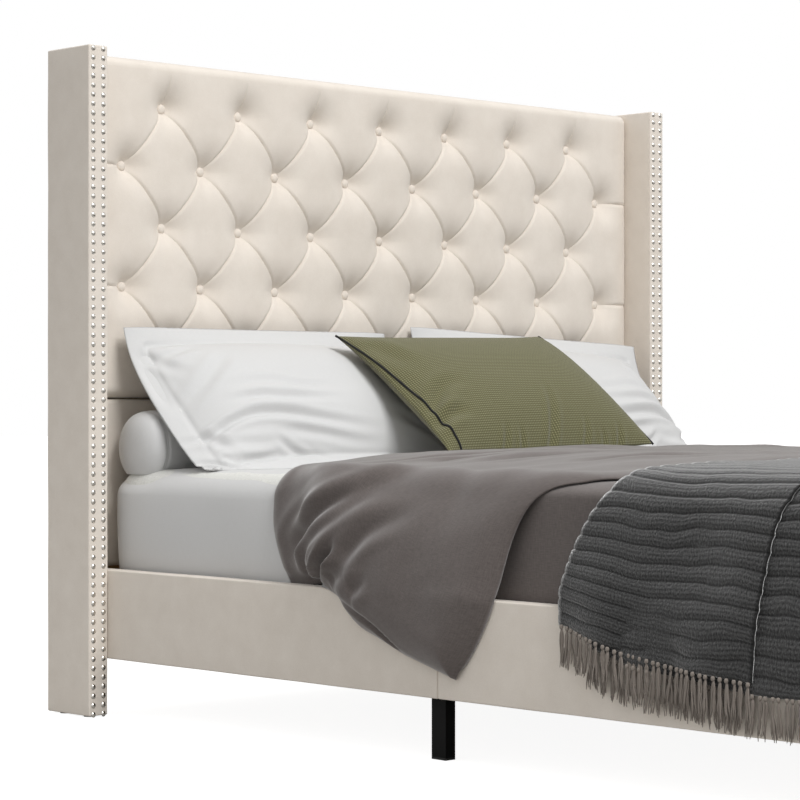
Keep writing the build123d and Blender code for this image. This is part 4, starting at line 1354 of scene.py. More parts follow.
PILLOW_CREASES = (
    Crease(((-0.330, 0.150), (-0.328, 0.090), (-0.325, 0.020), (-0.305, -0.020)), 0.010, 0.005),
    Crease(((-0.335, 0.142), (-0.290, 0.124), (-0.240, 0.126), (-0.180, 0.128)), 0.009, 0.004),
    Crease(((-0.332, 0.150), (-0.290, 0.098), (-0.252, 0.050)), 0.009, 0.004),
    Crease(((-0.172, 0.086), (-0.246, 0.030), (-0.302, 0.000), (-0.345, -0.015)), 0.013,
           0.005),
    Crease(((-0.365, -0.072), (-0.300, -0.090), (-0.250, -0.080), (-0.200, -0.075),
            (-0.140, -0.082), (-0.050, -0.098), (0.05, -0.112), (0.14, -0.120)), 0.0085, 0.009),
    Crease(((-0.240, -0.032), (-0.165, -0.040), (-0.100, -0.050), (0.05, -0.056)), 0.008,
           0.005),
    Crease(((-0.220, 0.000), (-0.130, -0.008), (-0.05, -0.024), (0.08, -0.022)), 0.009, 0.003),
    Crease(((-0.170, -0.112), (-0.060, -0.128), (0.03, -0.142), (0.12, -0.145)), 0.008, 0.004),
    Crease(((-0.315, -0.070), (-0.285, -0.118), (-0.255, -0.165)), 0.009, 0.004),
    Crease(((-0.300, -0.118), (-0.240, -0.130), (-0.180, -0.138), (-0.12, -0.142)), 0.009,
           0.003),
    Crease(((-0.275, -0.160), (-0.215, -0.163), (-0.165, -0.157), (-0.10, -0.160)), 0.008,
           0.0035),
    Crease(((-0.175, -0.126), (-0.140, -0.154), (-0.100, -0.172), (-0.060, -0.200)), 0.007,
           0.005),
    Crease(((-0.110, -0.155), (-0.055, -0.178), (0.020, -0.186)), 0.008, 0.003),
    Crease(((0.33, 0.14), (0.27, 0.05), (0.25, -0.02)), 0.011, 0.005),
    Crease(((0.33, -0.125), (0.22, -0.10), (0.10, -0.07)), 0.011, 0.005),
)

CUSHION_CREASES = (
    Crease(((-0.305, -0.125), (-0.258, -0.064), (-0.212, -0.036), (-0.150, -0.030)), 0.014,
           0.008),
    Crease(((-0.310, -0.135), (-0.250, -0.112), (-0.190, -0.108)), 0.012, 0.009),
    Crease(((-0.285, 0.150), (-0.262, 0.070), (-0.225, 0.010)), 0.020, 0.005),
    Crease(((-0.015, -0.220), (0.016, -0.150), (0.045, -0.085), (0.052, -0.035)), 0.009, 0.006),
    Crease(((0.090, -0.220), (0.115, -0.168), (0.125, -0.120)), 0.007, 0.004),
    Crease(((0.205, -0.220), (0.218, -0.172), (0.226, -0.140)), 0.007, 0.005),
    Crease(((-0.095, -0.220), (-0.086, -0.170), (-0.084, -0.140)), 0.006, 0.004),
    Crease(((-0.152, -0.220), (-0.132, -0.172), (-0.120, -0.130)), 0.007, 0.004),
    Crease(((0.155, -0.220), (0.165, -0.180), (0.160, -0.150)), 0.006, 0.003),
)


@dataclass
class Pillows:
    """Two sleeping pillows, the accent pillow with its cording, and the roll."""

    lift: float = 0.136
    drop: float = 0.118
    place: float = 0.393
    accent_cord: float = 2.4 * MM
    cord_lift: float = 1.2 * MM
    cord_inset: int = 9

    def add_cords(self, cushion: Pillow) -> None:
        """Lays a cord along each short seam of the accent pillow.

        Each seam line is read across the front skin, further in towards the lower edge, where
        the back panel swells past it.

        Args:
            cushion: the accent pillow, already built.
        """
        rows, columns = cushion.skin.shape[:2]
        share = np.linspace(0, 1, columns)
        for number, first, way in ((0, 0, 1), (1, rows - 1, -1)):
            inset = self.cord_inset * (1 - share) ** 1.3 if number == 0 else share * 0
            whole = inset.astype(int)
            part = (inset - whole)[:, None]
            column = np.arange(columns)
            one = cushion.skin[first + way * whole, column]
            two = cushion.skin[first + way * (whole + 1), column]
            path = one + (two - one) * part
            lifted = path + cushion.axes[2] * self.cord_lift * (number == 0)
            points, quads, caps = tube_along(lifted, self.accent_cord)
            cord = make_piece(f"accent_cording_{number}", points, quads, Body.PILLOWS,
                              "black_piping", caps=caps)
            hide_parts("accent_piping")

    def build(self) -> None:
        """Makes all the pillows."""
        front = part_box("wing_cover_right")[0].y
        base = REST.sheet_top + 0.3 * MM
        mirrored = tuple(Crease(tuple((-u * 0.97, v * 0.95) for u, v in crease.knots),
                                crease.width * 1.1, crease.depth) for crease in PILLOW_CREASES)
        for side, turn, seed, creases in ((Side.NEAR, 0.0, 3, PILLOW_CREASES),
                                          (Side.FAR, -4.0, 8, mirrored)):
            word = "left" if side is Side.NEAR else "right"
            Pillow(f"sleeping_pillow_{word}", f"pillow_{word}", "white_cotton", width=0.704,
                   height=0.410, flange=0.042, front=0.062, back=0.054,
                   middle=(side.value * self.place, front - self.drop, base + self.lift),
                   slope=43.5, turn=turn, seed=seed, droop=0.054, creases=creases,
                   corner=0.075).build()
        accent = Pillow("accent_cushion", "accent_pillow", "olive_weave", width=0.626,
                        height=0.402, flange=0.0, front=0.070, back=0.028,
                        middle=(0.027, front - 0.2405, base + 0.147), slope=37.0, turn=1.5,
                        seed=11, droop=-0.018, creases=CUSHION_CREASES, spare=1.0,
                        filling=0.64)
        accent.build()
        self.add_cords(accent)
        Roll().build()


@dataclass
class Mattress:
    """Mattress in knitted ticking under its fitted sheet."""

    radius: float = 0.042
    sheet_radius: float = 0.052
    step: float = 0.024
    side_swell: float = 0.009
    head_swell: float = 0.014
    hem_share: float = 0.4
    bulge_start: float = 0.46
    bulge_end: float = 0.60
    hollow_half: float = 0.065

    def build(self) -> None:
        """Makes the mattress and the sheet stretched over it."""
        soft_block("mattress_block", "mattress", Body.MATTRESS, "mattress_ticking",
                   self.radius, self.step, uneven=0.3 * MM, grow=-0.4 * MM)
        low, high = (np.array(corner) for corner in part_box("fitted_sheet"))
        high[1] += self.head_swell
        points, quads, normals = rounded_block(low, high, self.sheet_radius, self.step)
        kept = points[quads][..., 2].max(1) > low[2] + self.sheet_radius * self.hem_share
        used, numbers = np.unique(quads[kept], return_inverse=True)
        points, normals = points[used], normals[used]
        soft = smooth(high[2] - points[:, 2], 0.01, 0.08)
        swell = (ripple(points, length=0.30, amplitude=1.6 * MM, seed=21)
                 + ripple(points * [1, 1, 0.25], length=0.07, amplitude=0.5 * MM, seed=22))
        points = points + normals * ((np.abs(swell) - 0.6 * MM) * soft)[:, None]
        share = (points[:, 2] - REST.rail_top) / (high[2] - REST.rail_top)
        bulge = (self.side_swell * np.sin(math.pi * np.clip(share, 0, 1)) ** 0.7
                 * smooth(points[:, 1], self.bulge_start, self.bulge_end))
        points[:, 0] += bulge * normals[:, 0] * np.abs(normals[:, 0])
        points[:, 2] -= REST.roll_sink * np.clip(normals[:, 2], 0, 1) * np.exp(
            -((points[:, 1] - REST.roll_place) / self.hollow_half) ** 4)
        sheet = make_piece("fitted_sheet_cover", points, numbers.reshape(-1, 4),
                           Body.MATTRESS, "white_cotton", uv=flat_uv(points, normals))
        add_modifier(sheet, "SOLIDIFY", thickness=0.8 * MM, offset=-1.0)
        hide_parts("fitted_sheet")


SIDE_CREASES = (
    Crease(((0.440, 0.322), (0.425, 0.346), (0.405, 0.364), (0.371, 0.382), (0.341, 0.404),
            (0.293, 0.431), (0.242, 0.449), (0.183, 0.470), (0.118, 0.481)), 0.015, 0.017),
    Crease(((0.393, 0.287), (0.384, 0.319), (0.358, 0.352), (0.323, 0.380), (0.276, 0.408),
            (0.225, 0.433), (0.150, 0.455)), 0.011, 0.013),
    Crease(((0.352, 0.284), (0.328, 0.310), (0.306, 0.331), (0.284, 0.353), (0.262, 0.376)),
           0.008, 0.026),
    Crease(((0.290, 0.330), (0.252, 0.342), (0.201, 0.383), (0.147, 0.405), (0.070, 0.425)),
           0.015, 0.009),
    Crease(((0.300, 0.297), (0.262, 0.312), (0.225, 0.324)), 0.015, 0.009),
    Crease(((0.235, 0.280), (0.205, 0.295), (0.180, 0.308)), 0.012, 0.007),
    Crease(((0.465, 0.330), (0.440, 0.370), (0.405, 0.400), (0.340, 0.440)), 0.016, 0.006),
)

HEM_SEAM = (
    Crease(((0.005, 0.148), (0.047, 0.159), (0.107, 0.179), (0.127, 0.189), (0.168, 0.220),
            (0.210, 0.243), (0.273, 0.271), (0.318, 0.285), (0.345, 0.297)), 0.0045, 0.009,
           0.2),
)

TOP_CREASES = (
    Crease(((-0.70, 0.36), (-0.50, 0.30), (-0.25, 0.28), (0.1, 0.30)), 0.016, 0.006),
    Crease(((-0.66, 0.16), (-0.40, 0.13), (-0.15, 0.15), (0.2, 0.12)), 0.018, 0.006),
    Crease(((-0.20, 0.42), (0.00, 0.38), (0.15, 0.40)), 0.013, 0.008),
    Crease(((-0.55, -0.02), (-0.30, -0.10), (0.0, -0.12)), 0.018, 0.006),
    Crease(((-0.62, 0.26), (-0.45, 0.21), (-0.30, 0.20)), 0.014, 0.005),
    Crease(((0.25, 0.33), (0.45, 0.25), (0.66, 0.27)), 0.016, 0.006),
    Crease(((0.20, -0.05), (0.45, -0.12), (0.66, -0.05)), 0.018, 0.006),
)


@dataclass
class Duvet:
    """Duvet: its body tucked inside the rails, and the end turned back over it at the head."""

    rows: int = 220
    columns: int = 78
    steps: int = 110
    evening: int = 30
    weight: float = 0.05 * MM
    rounding: float = 0.068
    full: float = 0.016
    gap: float = 0.003
    head: float = 0.470
    head_fade: float = 0.06
    body_out: float = 0.0085
    body_depth: float = 0.050
    body_round: float = 0.045
    body_step: float = 0.022
    edge_round: float = 0.05
    layer_gap: float = 0.0025
    side_gap: float = 0.0105
    side_step: float = 0.008
    rail_gap: float = 2.5 * MM
    lip_gap: float = 1.5 * MM
    cloth_width: float = 2.4
    tuck: tuple[float, float, float] = (-0.803, 0.333, 0.286)

    def fullness(self, points: np.ndarray) -> np.ndarray:
        """How much the body swells towards its middle. Returns a share from 0 to 1."""
        return smooth(0.80 - np.abs(points[..., 0]), 0.04, 0.5)

    def head_end(self, points: np.ndarray) -> np.ndarray:
        """One on the body, falling to nothing over its last 6 cm at the head end."""
        return smooth(self.head - points[..., 1], 0, self.head_fade)

    def top_of_body(self, points: np.ndarray) -> np.ndarray:
        """Height of the body: thin at the sides and its head end, full in the middle."""
        return (REST.sheet_top + self.gap
                + self.full * self.fullness(points) * self.head_end(points))

    def make_body(self) -> None:
        """Makes the part that lies flat and is tucked down inside the rails."""
        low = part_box("duvet")[0]
        half = REST.mattress_half + self.body_out
        top = REST.sheet_top + self.gap + self.full
        points, quads, normals = rounded_block(
            (-half, low.y, REST.rail_top - self.body_depth), (half, self.head, top),
            self.body_round, self.body_step)
        share = smooth(points[:, 2], top - self.edge_round, top)
        points[:, 2] -= (top - self.top_of_body(points)) * share
        swell = (ripple(points * [1, 1, 0.4], length=0.22, amplitude=1.8 * MM, seed=41)
                 + ripple(points, length=0.07, amplitude=0.6 * MM, seed=42))
        level = 0.3 + 0.7 * smooth(points[:, 2], REST.rail_top, top - self.edge_round)
        points = points + normals * (swell * level)[:, None]
        body = make_piece("duvet_body", points, quads, Body.MATTRESS, "taupe_linen",
                          uv=flat_uv(points, normals))
        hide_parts("duvet")

    def outline(self) -> tuple[np.ndarray, ...]:
        """The turned back end's four border lines, each as a grid line of places.

        Returns:
            Hem, fold, near side edge and far side edge.
        """
        out = -REST.rail_outer - self.rail_gap
        hem = [(out, -0.002, 0.148), (out, -0.046, 0.206), (out, -0.083, 0.272),
               (out + 0.006, -0.098, 0.320), (out + 0.015, -0.118, 0.392),
               (out + 0.025, -0.145, 0.445), (-0.768, -0.182, 0.474), (-0.748, -0.235, 0.485),
               (-0.70, -0.305, 0.4875), (-0.60, -0.345, 0.492), (-0.40, -0.362, 0.499),
               (0.0, -0.368, 0.5045)]
        fold = [(-0.766, 0.452, 0.268), (-0.766, 0.486, 0.32), (-0.766, 0.508, 0.377),
                (-0.764, 0.509, 0.430), (-0.752, 0.505, 0.462), (-0.732, 0.504, 0.478),
                (-0.70, 0.504, 0.4835), (-0.50, 0.505, 0.4835), (0.0, 0.505, 0.4835)]
        edge = [(out, -0.002, 0.148), (out, 0.087, 0.172), (out, 0.127, 0.183),
                (out, 0.185, 0.205), (out, 0.226, 0.219), (out, 0.256, 0.240),
                (out, 0.284, 0.268), self.tuck, (-0.785, 0.375, 0.286), (-0.770, 0.42, 0.274),
                (-0.766, 0.452, 0.268)]

        def both(line: list) -> list:
            """The line and its mirror image, from the near side to the far one."""
            return line + [(-x, y, z) for x, y, z in line[-2::-1]]

        across = np.linspace(0, 1, self.rows)
        near = curve_through(edge, np.linspace(0, 1, self.columns))
        return (curve_through(both(hem), across), curve_through(both(fold), across), near,
                near * [-1, 1, 1])

    def off_the_bed(self, points: np.ndarray) -> np.ndarray:
        """Pushes points out of the mattress with the duvet's body, and out of the rails.

        The body is a block with round upper edges; a point inside is moved to its surface.

        Args:
            points: places to keep clear.
        Returns:
            The moved places.
        """
        near, sign = np.abs(points[..., 0]), np.sign(points[..., 0])
        radius = self.edge_round
        half = REST.mattress_half + self.side_gap - self.side_step * (1 - self.head_end(points))
        top = self.top_of_body(points) + self.layer_gap * self.head_end(points) - 0.0005
        outer, lip = REST.rail_outer + self.rail_gap, REST.rail_top + self.lip_gap
        lean = smooth(self.tuck[1] + 0.01 - points[..., 1], 0, 0.13)
        fallen = np.clip((top - radius - points[..., 2]) / (top - radius - lip), 0, 1)
        slant = half + lean * (outer - half) * fallen ** 1.3
        side, above = near - (half - radius), points[..., 2] - (top - radius)
        away = np.hypot(np.maximum(side, 0), np.maximum(above, 0))
        corner = (side > 0) & (above > 0) & (away < radius)
        scale = np.where(corner, radius / np.maximum(away, 1e-6), 1)
        x = np.where(corner, (half - radius) + side * scale, near)
        z = np.where(corner, (top - radius) + above * scale, points[..., 2])
        z = np.where((side <= 0) & (z < top), top, z)
        x = np.where((above <= 0) & (x < slant), slant, x)
        tucked = points[..., 1] > self.tuck[1] + 0.004
        x = np.where((x > REST.rail_outer - 0.03) & (z < lip) & (x < outer) & ~tucked, outer, x)
        x = np.where(tucked & (z < lip + 0.012), np.minimum(x, half + 0.5 * MM), x)
        return np.stack([x * sign, points[..., 1], z], -1)

    def from_tuck(self, points: np.ndarray) -> np.ndarray:
        """Distance of each point to the nearer of the two tucked places."""
        tuck = np.array(self.tuck)
        return np.minimum(np.linalg.norm(points - tuck, axis=-1),
                          np.linalg.norm(points - tuck * [-1, 1, 1], axis=-1))

    def relax(self) -> np.ndarray:
        """Lays the turned back end between its border lines and lets it settle.

        The start is the surface blended between the four lines (a Coons patch). Each pair of
        neighbours keeps its length there. The filling evens out what is finer than a few
        centimetres.

        Returns:
            The grid of places of the lower skin.
        """
        hem, fold, near, far = self.outline()
        across = np.linspace(0, 1, self.rows)[:, None, None]
        along = np.linspace(0, 1, self.columns)[None, :, None]
        corners = ((1 - across) * (1 - along) * hem[0] + across * (1 - along) * hem[-1]
                   + (1 - across) * along * fold[0] + across * along * fold[-1])
        start = ((1 - along) * hem[:, None] + along * fold[:, None]
                 + (1 - across) * near[None] + across * far[None] - corners)
        on_top = smooth(REST.mattress_half - np.abs(start[..., 0]), 0.0, 0.06)
        start[..., 2] = np.minimum(start[..., 2],
                                   self.top_of_body(start) + self.layer_gap
                                   + 0.012 * (1 - on_top))
        start = self.off_the_bed(start)
        moving = np.ones(start.shape[:2])
        moving[:, -1] = 0
        moving[[0, -1]] = 0

        def lengths(first: tuple, second: tuple, step: tuple) -> np.ndarray:
            """Length of each pair at the start."""
            return np.linalg.norm(start[second] - start[first], axis=-1)[..., None]

        cloth = Cloth(start, lengths, moving)
        random = np.random.default_rng(17)
        cloth.points += grid_normals(start) * (random.normal(size=start.shape[:2])
                                               * 0.4 * MM * moving)[..., None]
        fall = np.array([0, 0, -self.weight])
        for _ in range(self.steps):
            cloth.move(fall + (start - cloth.points) * 0.012, 0.15)
            for _ in range(3):
                cloth.hold_lengths()
            cloth.points = self.off_the_bed(cloth.points)
        ground = cloth.points
        for _ in range(self.evening):
            middle = (ground[:-2, 1:-1] + ground[2:, 1:-1] + ground[1:-1, :-2]
                      + ground[1:-1, 2:]) / 4
            ground[1:-1, 1:-1] = (ground[1:-1, 1:-1] + middle) / 2
            ground = self.off_the_bed(ground)
        return ground

    def upper_skin(self, ground: np.ndarray) -> np.ndarray:
        """Raises the upper skin off the lower one by the filling's thickness.

        The thickness grows as a quarter round with the distance from the nearest border. It is
        largest in the middle of the bed and where the end hangs, and small at the tucks.

        Args:
            ground: grid of the lower skin.
        Returns:
            Grid of the upper skin.
        """
        reach = np.full(ground.shape[:2], 9.0)
        for axis in (0, 1):
            steps = np.linalg.norm(np.diff(ground, axis=axis), axis=-1)
            run = np.insert(np.cumsum(steps, axis), 0, 0, axis)
            last = run[-1:] if axis == 0 else run[:, -1:]
            reach = np.minimum(reach, np.minimum(run, (last - run) * (1 + axis)))
        near = np.abs(ground[..., 0])
        thick = 0.012 + 0.004 * smooth(0.76 - near, 0, 0.3) + 0.026 * smooth(near, 0.775, 0.820)
        thick += self.full * self.fullness(ground) * (1 - self.head_end(ground))
        thick *= 1 - 0.6 * np.exp(-(self.from_tuck(ground) / 0.045) ** 2)
        squeezed = (smooth(ground[..., 1], self.tuck[1] - 0.01, self.tuck[1] + 0.01)
                    * smooth(REST.rail_top + 0.028 - ground[..., 2], 0, 0.026))
        thick *= 1 - 0.93 * squeezed
        uneven = (ripple(ground * [0.4, 1, 1], length=0.12, amplitude=1.6 * MM, seed=55)
                  + ripple(ground, length=0.05, amplitude=0.3 * MM, seed=56))
        side = smooth(near, 0.68, 0.75) * (1 - squeezed)
        rise = thick + uneven + side * crease_rise(ground[..., 1:], SIDE_CREASES)
        rise += (1 - side) * crease_rise(ground[..., :2], TOP_CREASES)
        rise = np.maximum(rise, 0.8 * MM) * quarter_round(reach, self.rounding) ** 1.5
        hanging = near > REST.rail_outer
        rise += hanging * crease_rise(ground[..., 1:], HEM_SEAM) * smooth(reach, 0.002, 0.012)
        return ground + grid_normals(ground) * rise[..., None]

    def make_turnback(self) -> None:
        """Makes the turned back end: two skins sewn round the border."""
        ground = refined(self.relax())
        rows, columns = ground.shape[:2]
        skin = self.upper_skin(ground)
        points, quads = join_layers(skin, ground)
        steps = np.linalg.norm(np.diff(ground, axis=1), axis=-1)
        v = np.concatenate([np.zeros((rows, 1)), np.cumsum(steps, 1)], 1)
        u = np.repeat(np.linspace(0, self.cloth_width, rows)[:, None], columns, 1)
        uv = np.stack([u, v], -1)
        uv = np.concatenate([uv.reshape(-1, 2), uv[1:-1, 1:-1].reshape(-1, 2)])
        end = make_piece("duvet_turned_back", points, quads, Body.MATTRESS, "taupe_linen", uv=uv)
        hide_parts("duvet")

    def build(self) -> None:
        """Makes both parts of the duvet."""
        self.make_body()
        self.make_turnback()


@dataclass
class Throw:
    """Folded rib knit throw over the foot end: two layers, each with knotted fringe."""

    rib: float = 28 * MM
    groove_width: float = 3.4 * MM
    groove_depth: float = 2.2 * MM
    rib_swell: float = 0.8 * MM
    tassel_pitch: float = 12 * MM
    tassel_length: float = 0.058
    strands: int = 6
    strand_rings: int = 7
    strand_sides: int = 4
    strand_radius: float = 1.55 * MM
    knot_rings: int = 4
    knot_sides: int = 8
    knot_radii: tuple[float, float, float] = (3.2 * MM, 3.6 * MM, 4.4 * MM)
    thickness: float = 3 * MM
    hem_rise: tuple[tuple[float, float], ...] = (
        (-0.64, 0.003), (-0.54, 0.011), (-0.457, 0.020), (-0.372, 0.033), (-0.293, 0.054),
        (-0.252, 0.066))
    samples: int = 900
    columns: int = 52

    def section(self, lift: float) -> list:
        """Half of the throw's cross-section with both its edges, from hem to middle.

        Args:
            lift: how far it lies above the layer beneath.
        Returns:
            Places as (X, Z, Y of the head edge, Y of the upper layer's foot edge).
        """
        out = -REST.rail_outer - 0.005 - lift
        return [(out - 0.003, 0.190, -0.240, -0.627), (out - 0.002, 0.258, -0.241, -0.633),
                (out + 0.001, 0.300, -0.251, -0.638), (out + 0.010, 0.360, -0.265, -0.646),
                (out + 0.020, 0.430, -0.292, -0.659), (out + 0.034, 0.474, -0.322, -0.678),
                (out + 0.068, 0.499 + lift * 0.7, -0.352, -0.695),
                (-0.66, 0.507 + lift, -0.385, -0.703), (-0.5, 0.5095 + lift, -0.398, -0.705),
                (0.0, 0.511 + lift, -0.402, -0.705)]

    def layer(self, name: str, lift: float, drop: float, head: float | None,
              foot: float | None, seed: int) -> tuple[np.ndarray, np.ndarray]:
        """One layer of knit with its ribs.

        The section is carried along Y between its two edges, and the hem rises towards the
        head. Narrow grooves part the ribs at even steps of the distance along the section, and
        soft folds widen towards the hem.

        Args:
            name: the piece's name.
            lift: how far it lies above the layer beneath.
            drop: how much lower its hem is.
            head: Y of a straight head edge, or None for the upper layer's own.
            foot: Y of a straight foot edge, or None for the upper layer's own.
            seed: seed of its unevenness.
        Returns:
            Its two hem lines.
        """
        half = self.section(lift)
        line = half + [(-x, *rest) for x, *rest in half[-2::-1]]
        section = curve_through(line, np.linspace(0, 1, self.samples))
        steps = np.linalg.norm(np.diff(section[:, :2], axis=0), axis=1)
        run = np.append(0, np.cumsum(steps))
        hanging = np.clip((0.46 - section[:, 1:2]) / 0.27, 0, 1)
        start = section[:, 2:3] if head is None else head + (section[:, 2:3] + 0.24) * 1.25
        end = section[:, 3:4] if foot is None else np.full_like(start, foot)
        y = start + (end - start) * np.linspace(0, 1, self.columns)
        hem = np.interp(y, *zip(*self.hem_rise))
        z = section[:, 1:2] + (hem - drop) * hanging
        grid = np.stack([np.repeat(section[:, :1], self.columns, 1), y, z], -1)
        normal = grid_normals(grid)
        normal *= np.sign(normal[self.samples // 2, self.columns // 2, 2])
        wander = (ripple(grid, length=0.15, amplitude=4.0 * MM, seed=seed)
                  + ripple(grid, length=0.05, amplitude=1.6 * MM, seed=seed + 5))
        phase = (run[:, None] + wander) / self.rib
        away = np.abs(phase - np.round(phase)) * self.rib
        groove = np.exp(-(away / self.groove_width) ** 2)
        swell = (np.cos(2 * math.pi * phase) + 1) / 2
        along = np.stack([y, y * 0, z * 0.4], -1)
        folds = (ripple(along, length=0.13, amplitude=6.0 * MM, seed=seed + 1) * hanging ** 0.7
                 + ripple(grid, length=0.2, amplitude=1.2 * MM, seed=seed + 2))
        rise = folds - self.groove_depth * groove - self.rib_swell * swell
        grid = grid + normal * rise[..., None]
        near = np.abs(grid[..., 0])
        clear = np.maximum(near, REST.rail_outer + 0.0035 + lift)
        grid[..., 0] = np.sign(grid[..., 0]) * np.where(grid[..., 2] < REST.rail_top + 0.01,
                                                        clear, near)
        uv = np.stack([y, np.repeat(run[:, None], self.columns, 1) + wander], -1)
        up = grid_normals(grid)[self.samples // 2, self.columns // 2, 2] > 0
        piece = make_piece(name, grid.reshape(-1, 3), grid_quads(self.samples, self.columns),
                           Body.MATTRESS, "charcoal_knit", uv=uv.reshape(-1, 2), flip=not up)
        # Painted shade: the groove attribute darkens the knit down in its grooves and paints a
        # shadow line along the layer's foot edge
        painted_shade_attribute = piece.data.attributes.new("groove", "FLOAT", "POINT")
        shade = np.maximum(0.9 * groove, np.exp(-((end - y) / 0.0035) ** 2))
        painted_shade_attribute.data.foreach_set("value", shade.reshape(-1).astype(np.float32))
        add_modifier(piece, "SOLIDIFY", thickness=self.thickness, offset=-1.0)
        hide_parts("throw_blanket")
        return grid[0], grid[-1]

    def knot_places(self, hems: tuple[np.ndarray, np.ndarray],
                    random: np.random.Generator) -> np.ndarray:
        """Places of the knots, at nearly even steps along the hems.

        Args:
            hems: hem line of each side.
            random: source of their unevenness.
        Returns:
            A place for each knot.
        """
        knots = []
        for line in hems:
            run = np.append(0, np.cumsum(np.linalg.norm(np.diff(line, axis=0), axis=1)))
            count = int(run[-1] / self.tassel_pitch)
            spots = (np.arange(count) + 0.5 + random.uniform(-0.15, 0.15, count)) / count
            knots.append(np.stack([np.interp(spots * run[-1], run, line[:, axis])
                                   for axis in range(3)], 1))
        return np.concatenate(knots)

    def make_strands(self, knots: np.ndarray, random: np.random.Generator) -> tuple:
        """Strands that hang from the knots, spread and bend a little.

        Args:
            knots: place of each knot.
            random: source of their spread and bends.
        Returns:
            Points, quads and end faces.
        """
        share = np.linspace(0, 1, self.strand_rings)
        turns = circle(self.strand_sides)
        count = len(knots) * self.strands
        root = np.repeat(knots, self.strands, 0)
        angle = np.tile(circle(self.strands), len(knots)) + random.uniform(0, 6, count)
        spread = random.uniform(2.0, 6.5, count) * MM
        long = self.tassel_length * random.uniform(0.88, 1.1, count)
        sway = np.repeat(random.uniform(-5, 5, len(knots)) * MM, self.strands)
        bend = random.uniform(-2.5, 2.5, count) * MM
        fan = share ** 0.7
        out = 1.0 * MM + np.abs(spread * np.cos(angle))[:, None] * fan * 0.8
        x = root[:, :1] + np.sign(root[:, :1]) * out
        y = (root[:, 1:2] + (spread * np.sin(angle))[:, None] * fan + sway[:, None] * share ** 2
             + bend[:, None] * np.sin(share * math.pi * 2))
        z = root[:, 2:] - 3 * MM - long[:, None] * share
        thick = self.strand_radius * np.interp(share, [0, 0.1, 0.7, 1], [1.0, 1.25, 1.0, 0.45])
        ring = np.stack([np.cos(turns), np.sin(turns), turns * 0], -1)
        tubes = np.stack([x, y, z], -1)[:, :, None] + thick[:, None, None] * ring
        size = self.strand_rings * self.strand_sides
        first = np.arange(self.strand_sides)
        last = size - self.strand_sides + first
        quads, caps = copied_faces(
            grid_quads(self.strand_rings, self.strand_sides, wrap_columns=True),
            [last[::-1], first], size, count)
        return tubes.reshape(-1, 3), quads, caps

    def make_knots(self, knots: np.ndarray, first: int) -> tuple:
        """Knots, as small upright balls just below the hem.

        Args:
            knots: place of each knot.
            first: number of the first ball's first point.
        Returns:
            Points, quads and end faces.
        """
        tilt = np.linspace(0, math.pi, self.knot_rings + 2)[1:-1]
        around = circle(self.knot_sides)
        ball = np.stack([np.outer(np.sin(tilt), np.cos(around)),
                         np.outer(np.sin(tilt), np.sin(around)),
                         np.repeat(np.cos(tilt)[:, None], self.knot_sides, 1)], -1)
        ball = (ball * self.knot_radii).reshape(-1, 3)
        centre = knots + np.sign(knots[:, :1]) * [[2.2 * MM, 0, 0]] - [0, 0, 2 * MM]
        ring = np.arange(self.knot_sides)
        quads, caps = copied_faces(
            grid_quads(self.knot_rings, self.knot_sides, wrap_columns=True)[:, ::-1],
            [ring[::-1], len(ball) - self.knot_sides + ring], len(ball), len(knots), first)
        return (centre[:, None] + ball).reshape(-1, 3), quads, caps

    def fringe(self, name: str, hems: tuple[np.ndarray, np.ndarray], seed: int) -> None:
        """Makes knotted tassels along both hems: a small knot with strands below it.

        Args:
            name: the piece's name.
            hems: hem line of each side.
            seed: seed of the strands' bends.
        """
        random = np.random.default_rng(seed)
        places = self.knot_places(hems, random)
        strands, strand_quads, ends = self.make_strands(places, random)
        balls, ball_quads, more_ends = self.make_knots(places, len(strands))
        piece = make_piece(name, np.concatenate([strands, balls]),
                           np.concatenate([strand_quads, ball_quads]), Body.MATTRESS,
                           "taupe_yarn", caps=ends + more_ends)
        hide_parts("throw_fringe")

    def build(self) -> None:
        """Makes both layers and their fringes."""
        under = self.layer("throw_under_layer", lift=0.0, drop=0.017, head=-0.300,
                           foot=-0.926, seed=61)
        upper = self.layer("throw_upper_layer", lift=0.0075, drop=0.0, head=None, foot=None,
                           seed=71)
        self.fringe("under_fringe", under, seed=81)
        self.fringe("upper_fringe", upper, seed=82)


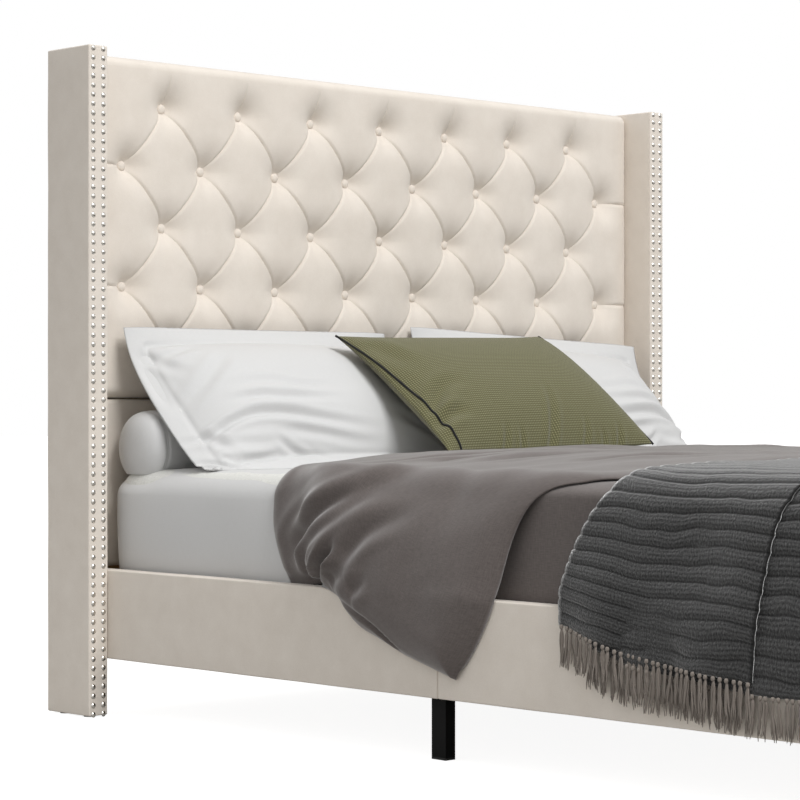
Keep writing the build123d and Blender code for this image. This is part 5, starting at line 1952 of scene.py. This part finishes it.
@dataclass
class Studio:
    """Camera at the photograph's place, one soft lamp, pale floor, white surroundings."""

    camera_place: tuple[float, float, float] = (-3.7662, -2.9475, 0.6178)
    camera_turn: float = 43.8307
    camera_tilt: float = -0.049
    lens: float = 112.926
    sensor: float = 36.0
    key_power: float = 285.0
    key_size: float = 2.6
    key_place: tuple[float, float, float] = (-0.8, -3.5, 5.1)
    key_target: tuple[float, float, float] = (0, 0.3, 0.6)
    floor_half: float = 30.0
    floor_colour: str = "#B9B8B6"
    floor_glow: float = 0.92
    ambient: float = 0.42
    ambient_slope: float = 0.36
    bright_way: tuple[float, float, float] = (-0.26, 0.35, 0.90)

    def make_lamp(self) -> None:
        """Adds the square area lamp, its -Z axis turned towards its target."""
        data = bpy.data.lights.new("key", "AREA")
        data.shape, data.size, data.energy = "SQUARE", self.key_size, self.key_power
        lamp = bpy.data.objects.new("key", data)
        lamp.location = self.key_place
        way = np.array(self.key_target) - np.array(self.key_place)
        lamp.rotation_euler = (math.pi / 2 + math.atan2(way[2], math.hypot(way[0], way[1])), 0,
                               math.atan2(-way[0], way[1]))
        bpy.context.scene.collection.objects.link(lamp)

    def make_camera(self) -> None:
        """Adds the camera that was fitted to the photograph."""
        data = bpy.data.cameras.new("photo_view")
        data.lens, data.sensor_width, data.clip_end = self.lens, self.sensor, 100.0
        camera = bpy.data.objects.new("photo_view", data)
        camera.location = self.camera_place
        camera.rotation_euler = (math.pi / 2 + math.radians(self.camera_tilt), 0,
                                 -math.radians(self.camera_turn))
        bpy.context.scene.collection.objects.link(camera)
        bpy.context.scene.camera = camera

    def make_world(self) -> None:
        """White seen by the camera, in gloss and through glass; a soft gradient elsewhere."""
        world = bpy.data.worlds.new("white_surroundings")
        bpy.context.scene.world = world
        world.use_nodes = True
        tree = world.node_tree
        tree.nodes.clear()
        path = add_node(tree, "LightPath").outputs
        seen = add_node(tree, "Math", {
            0: path["Is Camera Ray"], 1: path["Is Glossy Ray"]}, operation="MAXIMUM")
        seen = add_node(tree, "Math", {
            0: seen.outputs[0], 1: path["Is Transmission Ray"]}, operation="MAXIMUM")
        white = add_node(tree, "Background", {"Color": (1, 1, 1, 1), "Strength": 1.0})
        way = add_node(tree, "VectorMath", {
            0: add_node(tree, "TexCoord").outputs["Generated"],
            1: self.bright_way}, operation="DOT_PRODUCT")
        level = add_node(tree, "Math", {
            0: way.outputs["Value"], 1: self.ambient_slope, 2: self.ambient},
            operation="MULTIPLY_ADD")
        plain = add_node(tree, "Background", {
            "Color": (1, 1, 1, 1), "Strength": level.outputs[0]})
        mixed = add_node(tree, "MixShader", {
            0: seen.outputs[0], 1: plain.outputs[0], 2: white.outputs[0]})
        add_node(tree, "OutputWorld", {"Surface": mixed.outputs[0]})

    def make_floor(self) -> None:
        """Pale floor that stays white but for the object's shadow."""
        size = self.floor_half
        points = np.array([(-size, -size, 0), (size, -size, 0), (size, size, 0),
                           (-size, size, 0)])
        mesh = bpy.data.meshes.new("floor")
        mesh.from_pydata(points.tolist(), [], [(0, 1, 2, 3)])
        material = bpy.data.materials.new("Pale studio floor")
        material.use_nodes = True
        tree = material.node_tree
        tree.nodes.clear()
        path = add_node(tree, "LightPath").outputs["Is Camera Ray"]
        matt = add_node(tree, "BsdfDiffuse", {"Color": linear(self.floor_colour)})
        glow = add_node(tree, "Emission", {
            "Color": (1, 1, 1, 1), "Strength": self.floor_glow})
        lit = add_node(tree, "AddShader", {0: matt.outputs[0], 1: glow.outputs[0]})
        mixed = add_node(tree, "MixShader", {
            0: path, 1: matt.outputs[0], 2: lit.outputs[0]})
        add_node(tree, "OutputMaterial", {"Surface": mixed.outputs[0]})
        mesh.materials.append(material)
        floor = bpy.data.objects.new("floor", mesh)
        bpy.context.scene.collection.objects.link(floor)

    def build(self) -> None:
        """Adds camera, surroundings, floor and lamp."""
        self.make_camera()
        self.make_world()
        self.make_floor()
        self.make_lamp()
        bpy.context.scene.view_settings.view_transform = "Standard"


def main() -> None:
    """Builds the bed piece by piece and reports each."""
    for part in (Frame(), Headboard(), Mattress(), Pillows(), Duvet(), Throw(), Studio()):
        part.build()
        log.info("%s done", type(part).__name__)
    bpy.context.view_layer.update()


if __name__ == "__main__":
    main()
